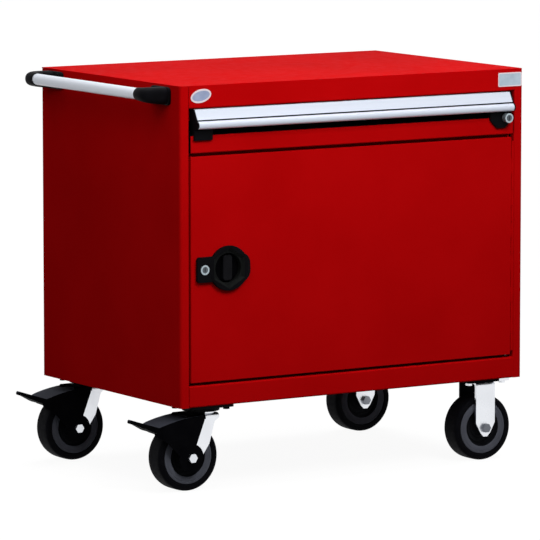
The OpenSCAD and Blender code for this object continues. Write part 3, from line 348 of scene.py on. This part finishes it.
PEDAL_BLACK = pedal_black()
OWN_MATERIAL = {
    "push_handle_tube": metal(
        "handle_tube", (0.72, 0.76, 0.84), (0.80, 0.84, 0.92), (0.36, 0.46),
        ALONG_Y, 200.0, ALONG_Y, 0.35,
    ),
    "rigid_caster_forks": rigid_forks(),
    "front_swivel_fork": swivel_fork("front"),
    "rear_swivel_fork": swivel_fork("rear"),
    "rigid_axle_bolts": DARK_BOLT,
    "caster_bolts": black_or_shade(bare("bolt_zinc", **ZINC), [("X", -1, MIDDLE.x)]),
    # The drawer front's paint turns black in the finger recess under the pull: painted shade
    "drawer_front": black_or_shade(
        painted("recess_shade_paint"),
        [
            ("Y", 1, FRONT_FACE + RECESS_SHADE_START * MM),
            ("Z", -1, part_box("drawer_front")[1].z - RECESS_SHADE_DROP * MM),
        ],
    ),
    "front_brake_pedal": PEDAL_BLACK,
    "rear_brake_pedal": PEDAL_BLACK,
    "front_brake_shoe": PEDAL_BLACK,
    "rear_brake_shoe": PEDAL_BLACK,
    "drawer_lock_plug": keyed_plug("drawer_lock_plug", "drawer_lock_turn"),
    "door_lock_plug": keyed_plug("door_lock_plug", "door_lock_turn"),
}


# Mesh helpers

def new_piece(name, bm, body, materials, smooth_angle=35.0):
    """Turns a bmesh into a named piece that rides on a body."""
    bmesh.ops.recalc_face_normals(bm, faces=bm.faces)
    for face in bm.faces:
        face.smooth = True
    for edge in bm.edges:
        if len(edge.link_faces) == 2 and edge.calc_face_angle() > math.radians(smooth_angle):
            edge.smooth = False
    mesh = bpy.data.meshes.new(name)
    bm.to_mesh(mesh)
    bm.free()
    for material in materials:
        mesh.materials.append(material)
    obj = bpy.data.objects.new(name, mesh)
    bpy.context.scene.collection.objects.link(obj)
    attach(obj, body)
    return obj


def loft(bm, rings, closed_loop=False, caps=(False, False), material=lambda i: 0):
    """Joins rings of points, each a closed loop of the same count, by quads."""
    rows = [[bm.verts.new(p) for p in ring] for ring in rings]
    pairs = list(zip(rows, rows[1:])) + ([(rows[-1], rows[0])] if closed_loop else [])
    for i, (a, b) in enumerate(pairs):
        for k in range(len(a)):
            n = (k + 1) % len(a)
            face = bm.faces.new((a[k], a[n], b[n], b[k]))
            face.material_index = material(i)
    if caps[0]:
        bm.faces.new(rows[0][::-1]).material_index = material(0)
    if caps[1]:
        bm.faces.new(rows[-1]).material_index = material(len(pairs) - 1)


def circle(radius, count):
    angles = [2 * math.pi * k / count for k in range(count)]
    return [(radius * math.cos(angle), radius * math.sin(angle)) for angle in angles]


def rounded_rect_reach(angle, half_w, half_h, radius):
    """Distance from the middle of a rounded rectangle to its edge."""
    near, far = 0.0, half_w + half_h
    for _ in range(40):
        reach = (near + far) / 2
        x = max(abs(reach * math.cos(angle)) - half_w + radius, 0.0)
        y = max(abs(reach * math.sin(angle)) - half_h + radius, 0.0)
        x_over = abs(reach * math.cos(angle)) > half_w
        y_over = abs(reach * math.sin(angle)) > half_h
        if math.hypot(x, y) > radius or x_over or y_over:
            far = reach
        else:
            near = reach
    return near


def rounded_rect(half_w, half_h, radius, count):
    points = []
    for k in range(count):
        angle = 2 * math.pi * k / count
        reach = rounded_rect_reach(angle, half_w, half_h, radius)
        points.append((reach * math.cos(angle), reach * math.sin(angle)))
    return points


# Wheels

TURNS = 128
WHEELS = ("front_left", "rear_left", "front_right", "rear_right")


def mirrored(half):
    """A section given for one side of the wheel, closed over both sides."""
    return half + [(r, -y) for r, y in reversed(half)]


# Sections as (radius, distance from the wheel's middle), in mm
TREAD_HALF = [
    (76.1, 0.5), (76.1, 8.0), (76.0, 14.0), (75.8, 18.5), (75.2, 21.4), (74.0, 23.4), (72.2, 24.5),
    (68.2, 24.9), (67.2, 24.9), (66.8, 24.4), (66.2, 24.4), (65.8, 24.9), (63.4, 24.8), (62.2, 24.3),
    (61.0, 23.2), (60.9, 15.0),
]
CORE_HALF = [
    (60.4, 12.0), (60.4, 22.6), (59.8, 23.3), (55.6, 23.5), (55.0, 22.9), (54.2, 22.9), (53.6, 23.4),
    (45.6, 23.0), (44.0, 22.4), (43.0, 21.0), (41.8, 15.0), (40.8, 13.6), (37.0, 13.0), (36.0, 14.6),
    (34.0, 14.8), (33.0, 13.0), (27.0, 12.4), (26.0, 13.8), (24.2, 14.0), (23.2, 13.0), (19.6, 13.6),
    (17.4, 16.0), (16.6, 26.5), (15.6, 27.8), (13.0, 28.2), (7.0, 28.2),
]
# First step of the core's section that lies in its dish, which takes a near-black painted shade
SHADED_DISH_START = 8


def lathe_piece(name, half, centre, body, materials, material=lambda i: 0):
    bm = bmesh.new()
    section = mirrored(half)
    rings = [
        [(centre.x + u, centre.y + y * MM, centre.z + w) for u, w in circle(r * MM, TURNS)]
        for r, y in section
    ]
    loft(bm, rings, closed_loop=True, material=lambda i: material(min(i, len(section) - 2 - i)))
    return new_piece(name, bm, body, materials)


def wheels():
    # The recessed dish takes a near-black moulding as painted shade
    dish_shade = moulding("wheel_dish", (0.006, 0.0065, 0.008), (0.010, 0.0105, 0.013), (0.45, 0.6), 700.0)
    for corner in WHEELS:
        low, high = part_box(corner + "_tread")
        centre = (low + high) / 2
        body = NODES[corner + "_tread"]["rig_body"]
        tread = lathe_piece(
            corner + "_tyre", TREAD_HALF, centre, body, [MATERIALS["black_tread"]]
        )
        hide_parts(corner + "_tread")
        core = lathe_piece(
            corner + "_wheel_centre", CORE_HALF, centre, body,
            [MATERIALS["grey_core"], dish_shade],
            lambda i: 1 if i >= SHADED_DISH_START else 0,
        )
        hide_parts(corner + "_core")


wheels()


# Drawer pull: a rolled aluminium rail with a shadow groove above its grip bead

# In mm: how far the bead stands out from the drawer's face, its middle as (out from the face, up from
# the rail's top), and its outer and inner radius
PULL_OUT = 21.0
BEAD = Vector((12.2, -34.2))
BEAD_R = 8.75
BEAD_HOLLOW_R = 6.4


def bead_arc(radius, start, sweep, steps):
    """Points round the bead's middle, from a start angle through a sweep, in degrees."""
    angles = [math.radians(start + sweep * k / steps) for k in range(steps + 1)]
    return [(BEAD.x + radius * math.cos(a), BEAD.y + radius * math.sin(a)) for a in angles]


def pull_rail():
    low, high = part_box("drawer_pull")
    face_y = low.y + PULL_OUT * MM
    section = [
        (-17.9, 0.0), (0.2, 0.0), (0.9, -0.3), (1.2, -0.9), (12.1, -21.6), (12.4, -22.2),
        (12.1, -22.5), (8.8, -22.5), (8.2, -24.0), (8.8, -25.4),
    ]
    groove = range(6, 10)
    section += bead_arc(BEAD_R, 96, -285, 40)
    section += bead_arc(BEAD_HOLLOW_R, -189, 309, 32)
    section += [
        (6.6, -27.2), (5.8, -25.6), (5.8, -22.0), (8.0, -19.2), (-1.0, -2.4), (-15.4, -2.4),
        (-15.4, -21.9), (-17.9, -21.9),
    ]
    bm = bmesh.new()
    # Each step along the rail: x, and how far the section is drawn in
    ends = [
        (low.x + 0.1 * MM, 0.25), (low.x + 0.5 * MM, 0.0),
        (high.x - 0.5 * MM, 0.0), (high.x - 0.1 * MM, 0.25),
    ]
    count = len(section)
    normals = []
    for k in range(count):
        a, b = Vector(section[k - 1]), Vector(section[(k + 1) % count])
        along = (b - a).normalized()
        normals.append(Vector((along.y, -along.x)))
    rows = []
    for x, inset in ends:
        rows.append([])
        for (out, up), normal in zip(section, normals):
            out, up = out + normal.x * inset, up + normal.y * inset
            rows[-1].append(bm.verts.new((x, face_y - out * MM, high.z + up * MM)))
    for a, b in zip(rows, rows[1:]):
        for k in range(count):
            n = (k + 1) % count
            face = bm.faces.new((a[k], a[n], b[n], b[k]))
            face.material_index = 1 if k in groove else 0
    bm.faces.new(rows[0])
    bm.faces.new(rows[-1][::-1])
    # The groove's faces take a near-black metal: painted shade
    shadow = metal("pull_groove_shade", (0.020, 0.022, 0.026), (0.034, 0.036, 0.042), (0.5, 0.6), ALONG_X)
    rail = new_piece(
        "drawer_pull_rail", bm, "drawer",
        [MATERIALS["pull_aluminium"], shadow], 30.0,
    )
    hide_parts("drawer_pull")


pull_rail()


# Door handle: rosette with a six-sided bevel round a cup let into the door, and a turning grip in it

DOOR_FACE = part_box("door_panel")[0].y
# Copies of the black moulding: lighter on the bevel and cup wall as painted highlight, darker and
# duller on the cup's floor as painted shade
BEVEL_HIGHLIGHT = moulding("cup_wall", (0.007, 0.008, 0.008), (0.011, 0.012, 0.0115), (0.50, 0.62))
CUP_SHADE = moulding(
    "cup_shade", (0.0012, 0.0012, 0.0015), (0.0022, 0.0022, 0.003), (0.60, 0.75), specular=0.01
)
# Rosette in mm: its disc, the corners of the bevel's outer and inner edge, its left tab and right ear
ROSETTE_R = 50.0
BEVEL_OUTER = 46.0
BEVEL_INNER = 39.6
TAB_HALF_H = 28.2
TAB_CORNER_R = 7.0
EAR_HALF_H = 32.0
EAR_CORNER_R = 24.0
ROSETTE_POINTS = 360
ROSETTE_STEPS = 18
# Grip bar and shaft in mm
GRIP_HALF_W = 12.5
GRIP_HALF_H = 29.0
GRIP_CORNER_R = 7.0
GRIP_POINTS = 128
SHAFT_R = 5.5
DISC_POINTS = 96


def hexagon_reach(angle, corner):
    """Distance from the middle of a hexagon, with a corner at the top, to its edge."""
    within = (angle - math.pi / 2 + math.pi / 6) % (math.pi / 3) - math.pi / 6
    return corner * math.cos(math.pi / 6) / math.cos(math.pi / 6 - abs(within))


def rosette():
    low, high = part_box("door_rosette")
    knob = PIVOT["door_knob_turn"]
    tab = (knob.x - low.x) / MM
    ear = (high.x - knob.x) / MM
    bm = bmesh.new()
    rings = [[] for _ in range(ROSETTE_STEPS)]
    for k in range(ROSETTE_POINTS):
        angle = 2 * math.pi * k / ROSETTE_POINTS
        if math.cos(angle) < 0:
            flat = rounded_rect_reach(angle, tab, TAB_HALF_H, TAB_CORNER_R)
        else:
            flat = rounded_rect_reach(angle, ear, EAR_HALF_H, EAR_CORNER_R)
        edge = max(ROSETTE_R, flat)
        mouth = hexagon_reach(angle, BEVEL_OUTER)
        # Each step: distance from the knob's axis, and how far in front of the door's face
        steps = [(30.0, -12.9), (34.8, -12.9), (34.9, 0.02), (edge - 0.2, 0.05), (edge, 0.6)]
        if edge > ROSETTE_R + 0.6:
            steps += [(edge, 6.2), (edge - 0.35, 6.7), (edge - 0.9, 7.0)]
            steps += [(max(ROSETTE_R + 0.2, edge - 12.0), 7.0), (min(edge - 1.0, ROSETTE_R), 7.1)]
        else:
            steps += [(edge, 6.0), (edge - 0.1, 6.6), (edge - 0.25, 7.0)]
            steps += [(edge - 0.45, 7.3), (edge - 0.7, 7.6)]
        steps += [(min(edge - 1.4, ROSETTE_R - 1.3), 8.0), (mouth, 8.0), (mouth - 0.6, 7.6)]
        steps += [(hexagon_reach(angle, BEVEL_INNER), 2.3), (33.6, 2.0), (33.1, 1.5)]
        steps += [(33.1, -10.4), (32.6, -10.9)]
        for ring, (reach, out) in zip(rings, steps):
            x = knob.x + reach * math.cos(angle) * MM
            z = knob.z + reach * math.sin(angle) * MM
            ring.append((x, DOOR_FACE - out * MM, z))
    # Bevel and cup wall take the third material, a lighter moulding as painted highlight; the cup's
    # floor the second, a darker, duller one as painted shade
    finish = {12: 2, 13: 2, 14: 2, 15: 2, 16: 1}
    loft(bm, rings, caps=(True, True), material=lambda i: finish.get(i, 0))
    materials = [MATERIALS["black_moulding"], CUP_SHADE, BEVEL_HIGHLIGHT]
    piece = new_piece("door_handle_rosette", bm, "door", materials, 24.0)
    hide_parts("door_rosette")


def grip_knob():
    knob = PIVOT["door_knob_turn"]
    shaft_end = (DOOR_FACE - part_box("door_knob")[1].y) / MM
    bm = bmesh.new()

    def ring(points, out):
        return [(knob.x + x * MM, DOOR_FACE - out * MM, knob.z + z * MM) for x, z in points]

    def disc(radius, out):
        return ring(circle(radius, DISC_POINTS), out)

    # The plate at the cup's floor takes the cup's darker moulding: painted shade
    # Each step: radius, and how far in front of the door's face
    plate = [(31.2, -10.7), (31.4, -10.4), (31.4, -8.9), (30.8, -8.4), (29.0, -8.3)]
    loft(bm, [disc(r, out) for r, out in plate], caps=(True, True), material=lambda i: 1)

    def bar(inset):
        return rounded_rect(
            GRIP_HALF_W - inset, GRIP_HALF_H - inset, GRIP_CORNER_R - inset, GRIP_POINTS
        )

    # Each step: inset from the bar's outline, and how far in front of the door's face
    sides = [
        (0.0, -8.4), (0.2, -7.8), (0.4, -5.0), (0.6, -2.2), (0.9, -1.1), (1.5, -0.4), (2.4, -0.1),
        (5.0, -0.05),
    ]
    loft(bm, [ring(bar(inset), out) for inset, out in sides], caps=(True, True))
    loft(bm, [disc(SHAFT_R, -10.0), disc(SHAFT_R, shaft_end + 0.05)], caps=(True, True))
    materials = [GRIP, CUP_SHADE]
    piece = new_piece("door_handle_grip", bm, "door_handle", materials, 40.0)
    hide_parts("door_knob")


rosette()
grip_knob()


# Push handle brackets: moulded elbows from a flange on the side panel to the tube

# In mm: a bracket's zero line beyond the tube's end, its flange's middle inward of that line and
# below the tube, and the flange's corners
BRACKET_ZERO = 2.0
FLANGE_SHIFT = 19.0
FLANGE_DROP = 4.5
FLANGE_CORNER_R = 11.0
# The last steps are round; before them each step is squarer by this much, down to a limit
ROUND_STEPS = 4
SQUARING = 0.03
MOST_SQUARE = 0.72
BRACKET_POINTS = 72


def elbow_bracket(name, end):
    """One bracket; end is -1 at the front and 1 at the rear."""
    tube_low, tube_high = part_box("push_handle_tube")
    tube_x = (tube_low.x + tube_high.x) / 2
    tube_z = (tube_low.z + tube_high.z) / 2
    middle_y = (tube_low.y + tube_high.y) / 2
    out_tube = (LEFT_FACE - tube_x) / MM
    level = (tube_high.y - tube_low.y) / 2 / MM + BRACKET_ZERO
    bm = bmesh.new()

    def point(out, v, up):
        return (LEFT_FACE - out * MM, middle_y + end * (level - v) * MM, tube_z + up * MM)

    # Each step: outer and inner point in plan as (out, v), half height, drop of its middle
    steps = [
        ((5.6, -19.0), (5.6, 29.0), 19.8, 3.9), ((6.6, -18.8), (6.8, 26.6), 19.7, 3.8),
        ((9.0, -18.6), (9.6, 24.2), 19.5, 3.7), ((15.0, -18.2), (15.0, 22.0), 19.2, 3.3),
        ((24.0, -17.8), (22.5, 20.4), 18.9, 2.9), ((34.0, -17.4), (28.5, 19.8), 18.5, 2.4),
        ((43.5, -16.8), (32.5, 19.9), 18.0, 1.9), ((52.0, -15.4), (34.8, 20.6), 17.4, 1.4),
        ((59.0, -12.0), (36.3, 21.6), 16.8, 1.0), ((64.2, -6.4), (37.3, 22.9), 16.2, 0.7),
        ((67.0, 1.0), (37.9, 24.4), 15.6, 0.4), ((67.8, 9.0), (38.2, 26.0), 15.1, 0.2),
        ((out_tube + 14.7, 18.5), (out_tube - 14.6, 27.4), 14.6, 0.1),
        ((out_tube + 14.4, 28.4), (out_tube - 14.4, 28.6), 14.4, 0.0),
        ((out_tube + 14.1, 29.0), (out_tube - 14.1, 29.0), 14.1, 0.0),
        ((out_tube + 12.9, 29.0), (out_tube - 12.9, 29.0), 12.9, 0.0),
        ((out_tube + 12.85, 1.5), (out_tube - 12.85, 1.5), 12.85, 0.0),
    ]
    round_from = len(steps) - ROUND_STEPS
    rings = []
    for k, (outer, inner, half, drop) in enumerate(steps):
        power = max(1.0 - SQUARING * (round_from - k), MOST_SQUARE) if k < round_from else 1.0
        mid = ((outer[0] + inner[0]) / 2, (outer[1] + inner[1]) / 2)
        arm = ((outer[0] - inner[0]) / 2, (outer[1] - inner[1]) / 2)
        ring = []
        for c, q in circle(1.0, BRACKET_POINTS):
            c = math.copysign(abs(c) ** power, c)
            q = math.copysign(abs(q) ** power, q)
            ring.append(point(mid[0] + arm[0] * c, mid[1] + arm[1] * c, half * q - drop))
        rings.append(ring)
    loft(bm, rings, caps=(True, True))

    # Each step: width, height, distance from the side panel
    flange = [(80.0, 40.0, 0.0), (80.0, 40.0, 4.2), (79.2, 39.2, 5.4), (77.6, 37.6, 6.0)]
    plates = []
    for wide, tall, out in flange:
        outline = rounded_rect(wide / 2, tall / 2, FLANGE_CORNER_R, BRACKET_POINTS)
        plates.append([point(out, FLANGE_SHIFT + u, w - FLANGE_DROP) for u, w in outline])
    loft(bm, plates, caps=(True, True))
    return new_piece(name, bm, "housing", [MATERIALS["black_moulding"]], 50.0)


front_elbow = elbow_bracket("push_handle_front_elbow", -1)
rear_elbow = elbow_bracket("push_handle_rear_elbow", 1)
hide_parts("push_handle_brackets")
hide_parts("push_handle_brackets")


# Blank plates on the top rail, in mm

PLATE_POINTS = 96
OVAL_HALF = (26.6, 14.8)
OVAL_TILT = math.radians(11)
LABEL_HALF = (32.5, 16.0)
LABEL_CORNER_R = 2.5
LEAST_CORNER_R = 0.5
# First step of a plate's section that lies in its field
FIELD_START = 3


def blank_plate(name, x, z, outline, rim_width, rim, field):
    """Thin plate with a raised rim; x and z place its middle, outline gives its points by inset."""
    bm = bmesh.new()
    # Each step: inset from the outline, and how far in front of the rail
    steps = [(0.0, 0.0), (0.0, 0.7), (0.25, 1.0)]
    steps += [(rim_width, 1.0), (rim_width + 0.3, 0.65), (rim_width + 1.5, 0.6)]
    rings = [
        [
            (MIDDLE.x + (x + u) * MM, FRONT_FACE - out * MM, (z + w) * MM)
            for u, w in outline(inset)
        ]
        for inset, out in steps
    ]
    loft(bm, rings, caps=(True, True), material=lambda i: 1 if i >= FIELD_START else 0)
    new_piece(name, bm, "housing", [rim, field], 60.0)


def oval_outline(inset):
    points = []
    along, across = math.cos(OVAL_TILT), math.sin(OVAL_TILT)
    for c, q in circle(1.0, PLATE_POINTS):
        u, w = (OVAL_HALF[0] - inset) * c, (OVAL_HALF[1] - inset) * q
        points.append((u * along - w * across, u * across + w * along))
    return points


def label_outline(inset):
    corner_r = max(LABEL_CORNER_R - inset, LEAST_CORNER_R)
    return rounded_rect(LABEL_HALF[0] - inset, LABEL_HALF[1] - inset, corner_r, PLATE_POINTS)


pale_rim = metal("plate_rim", (0.70, 0.61, 0.65), (0.80, 0.70, 0.74), (0.34, 0.44))
pale_field = metal(
    "plate_field", (0.27, 0.32, 0.48), (0.36, 0.41, 0.58), (0.34, 0.46), ALONG_X, 160.0
)
label_field = metal(
    "label_field", (0.38, 0.47, 0.55), (0.50, 0.60, 0.68), (0.34, 0.46), ALONG_X, 160.0
)
blank_plate("blank_oval_plate", -404.0, 878.5, oval_outline, 4.0, pale_rim, pale_field)
blank_plate("blank_label_plate", 420.5, 877.5, label_outline, 2.5, pale_rim, label_field)


# CAD nodes that keep their own shape

# Width of the eased edges by material slot, in mm, and on panels that meet in a close seam
EDGE_WIDTH = {
    "red_paint": 0.8, "pull_aluminium": 0.5, "black_moulding": 1.0, "black_steel": 0.6, "zinc": 0.6,
    "dark_steel": 0.4, "lock_chrome": 0.5,
}
CLOSE_EDGE_WIDTH = 0.25
CLOSE_SEAMS = ("left_side_panel", "right_side_panel", "top_panel")
# A rim that runs right round must stay in several faces
RINGED = ("drawer_box",)


def ease_edges(obj, width):
    weld = obj.modifiers.new("weld", "WELD")
    weld.merge_threshold = 0.00001
    if obj.name not in RINGED:
        flat = obj.modifiers.new("flat", "DECIMATE")
        flat.decimate_type = "DISSOLVE"
        flat.angle_limit = math.radians(0.3)
    bevel = obj.modifiers.new("eased_edges", "BEVEL")
    bevel.width = width
    bevel.segments = 2
    bevel.limit_method = "ANGLE"
    bevel.angle_limit = math.radians(48)
    bevel.use_clamp_overlap = True
    normals = obj.modifiers.new("normals", "WEIGHTED_NORMAL")
    normals.keep_sharp = True


for name, obj in NODES.items():
    slot = SLOT_OF[name]
    obj.data.materials.clear()
    obj.data.materials.append(OWN_MATERIAL.get(name, MATERIALS[slot]))
    if not obj.hide_render and slot in EDGE_WIDTH:
        ease_edges(obj, (CLOSE_EDGE_WIDTH if name in CLOSE_SEAMS else EDGE_WIDTH[slot]) * MM)


# Stage

FLOOR_SIZE = 40.0
# The floor to other surfaces, and to the camera: a diffuse part that takes the shadow, and a glow
FLOOR_BOUNCE = 0.08
FLOOR_DIFFUSE = 0.10
FLOOR_GLOW = 0.94
SKY_LIGHT = 0.145
# Camera: focal length in mm, turn and tilt in degrees, place in metres from the floor area's middle
LENS = 320.73
TURN = -32.272
TILT = 7.128
CAMERA_PLACE = Vector((-5.8722, -9.2472, 1.8059))


def background_rays(tree):
    """1 for the rays that see the background: camera, glossy and transmission."""
    path = tree.nodes.new("ShaderNodeLightPath")
    either = tree.nodes.new("ShaderNodeMath")
    either.operation = "MAXIMUM"
    tree.links.new(path.outputs["Is Camera Ray"], either.inputs[0])
    tree.links.new(path.outputs["Is Glossy Ray"], either.inputs[1])
    any_of = tree.nodes.new("ShaderNodeMath")
    any_of.operation = "MAXIMUM"
    tree.links.new(either.outputs[0], any_of.inputs[0])
    tree.links.new(path.outputs["Is Transmission Ray"], any_of.inputs[1])
    return any_of.outputs[0]


def floor():
    bm = bmesh.new()
    bmesh.ops.create_grid(bm, x_segments=1, y_segments=1, size=FLOOR_SIZE)
    mesh = bpy.data.meshes.new("floor")
    bm.to_mesh(mesh)
    bm.free()
    obj = bpy.data.objects.new("floor", mesh)
    obj.location.z = CAD_BOX[0][2]
    bpy.context.scene.collection.objects.link(obj)
    material = bpy.data.materials.new("floor_pale")
    material.use_nodes = True
    tree = material.node_tree
    tree.nodes.clear()
    out = tree.nodes.new("ShaderNodeOutputMaterial")
    seen = tree.nodes.new("ShaderNodeMixShader")
    unseen = tree.nodes.new("ShaderNodeBsdfDiffuse")
    unseen.inputs["Color"].default_value = (FLOOR_BOUNCE, FLOOR_BOUNCE, FLOOR_BOUNCE, 1.0)
    pale = tree.nodes.new("ShaderNodeBsdfDiffuse")
    pale.inputs["Color"].default_value = (FLOOR_DIFFUSE, FLOOR_DIFFUSE, FLOOR_DIFFUSE, 1.0)
    glow = tree.nodes.new("ShaderNodeEmission")
    glow.inputs["Strength"].default_value = FLOOR_GLOW
    both = tree.nodes.new("ShaderNodeAddShader")
    tree.links.new(pale.outputs[0], both.inputs[0])
    tree.links.new(glow.outputs[0], both.inputs[1])
    tree.links.new(background_rays(tree), seen.inputs["Fac"])
    tree.links.new(unseen.outputs[0], seen.inputs[1])
    tree.links.new(both.outputs[0], seen.inputs[2])
    tree.links.new(seen.outputs[0], out.inputs["Surface"])
    mesh.materials.append(material)


def sky():
    world = bpy.data.worlds.new("studio")
    bpy.context.scene.world = world
    world.use_nodes = True
    tree = world.node_tree
    tree.nodes.clear()
    out = tree.nodes.new("ShaderNodeOutputWorld")
    mix = tree.nodes.new("ShaderNodeMixShader")
    dim = tree.nodes.new("ShaderNodeBackground")
    dim.inputs["Color"].default_value = (1.0, 1.0, 1.0, 1.0)
    dim.inputs["Strength"].default_value = SKY_LIGHT
    white = tree.nodes.new("ShaderNodeBackground")
    white.inputs["Color"].default_value = (1.0, 1.0, 1.0, 1.0)
    white.inputs["Strength"].default_value = 1.0
    tree.links.new(background_rays(tree), mix.inputs["Fac"])
    tree.links.new(dim.outputs[0], mix.inputs[1])
    tree.links.new(white.outputs[0], mix.inputs[2])
    tree.links.new(mix.outputs[0], out.inputs["Surface"])


def sun(name, towards, energy, angle):
    light = bpy.data.lights.new(name, "SUN")
    light.energy = energy
    light.angle = math.radians(angle)
    obj = bpy.data.objects.new(name, light)
    obj.rotation_euler = Vector(towards).to_track_quat("Z", "Y").to_euler()
    bpy.context.scene.collection.objects.link(obj)


def soft_box(name, place, aim, size, energy):
    """Square area light, placed and aimed in metres from the middle of the cabinet's floor area."""
    light = bpy.data.lights.new(name, "AREA")
    light.size = size
    light.energy = energy
    obj = bpy.data.objects.new(name, light)
    obj.location = MIDDLE + Vector(place)
    obj.rotation_euler = (Vector(place) - Vector(aim)).to_track_quat("Z", "Y").to_euler()
    obj.visible_glossy = False
    bpy.context.scene.collection.objects.link(obj)


def camera():
    data = bpy.data.cameras.new("camera")
    data.sensor_width = 36.0
    data.lens = LENS
    data.clip_end = 200.0
    obj = bpy.data.objects.new("camera", data)
    turn, tilt = math.radians(TURN), math.radians(TILT)
    level = math.cos(tilt)
    back = Vector((math.sin(turn) * level, -math.cos(turn) * level, math.sin(tilt)))
    obj.location = MIDDLE + CAMERA_PLACE
    obj.rotation_euler = (-back).to_track_quat("-Z", "Y").to_euler()
    bpy.context.scene.collection.objects.link(obj)
    bpy.context.scene.camera = obj


floor()
sky()
soft_box("front_light", (0.10, -1.7, 2.1), (0.05, -0.3, 0.85), 1.0, 27.5)
soft_box("left_light", (-1.35, -0.90, 1.75), (-0.45, -0.05, 0.70), 1.2, 7.5)
sun("top_light", (0.10, 0.16, 0.98), 1.78, 40)
camera()
bpy.context.scene.view_settings.view_transform = "Standard"
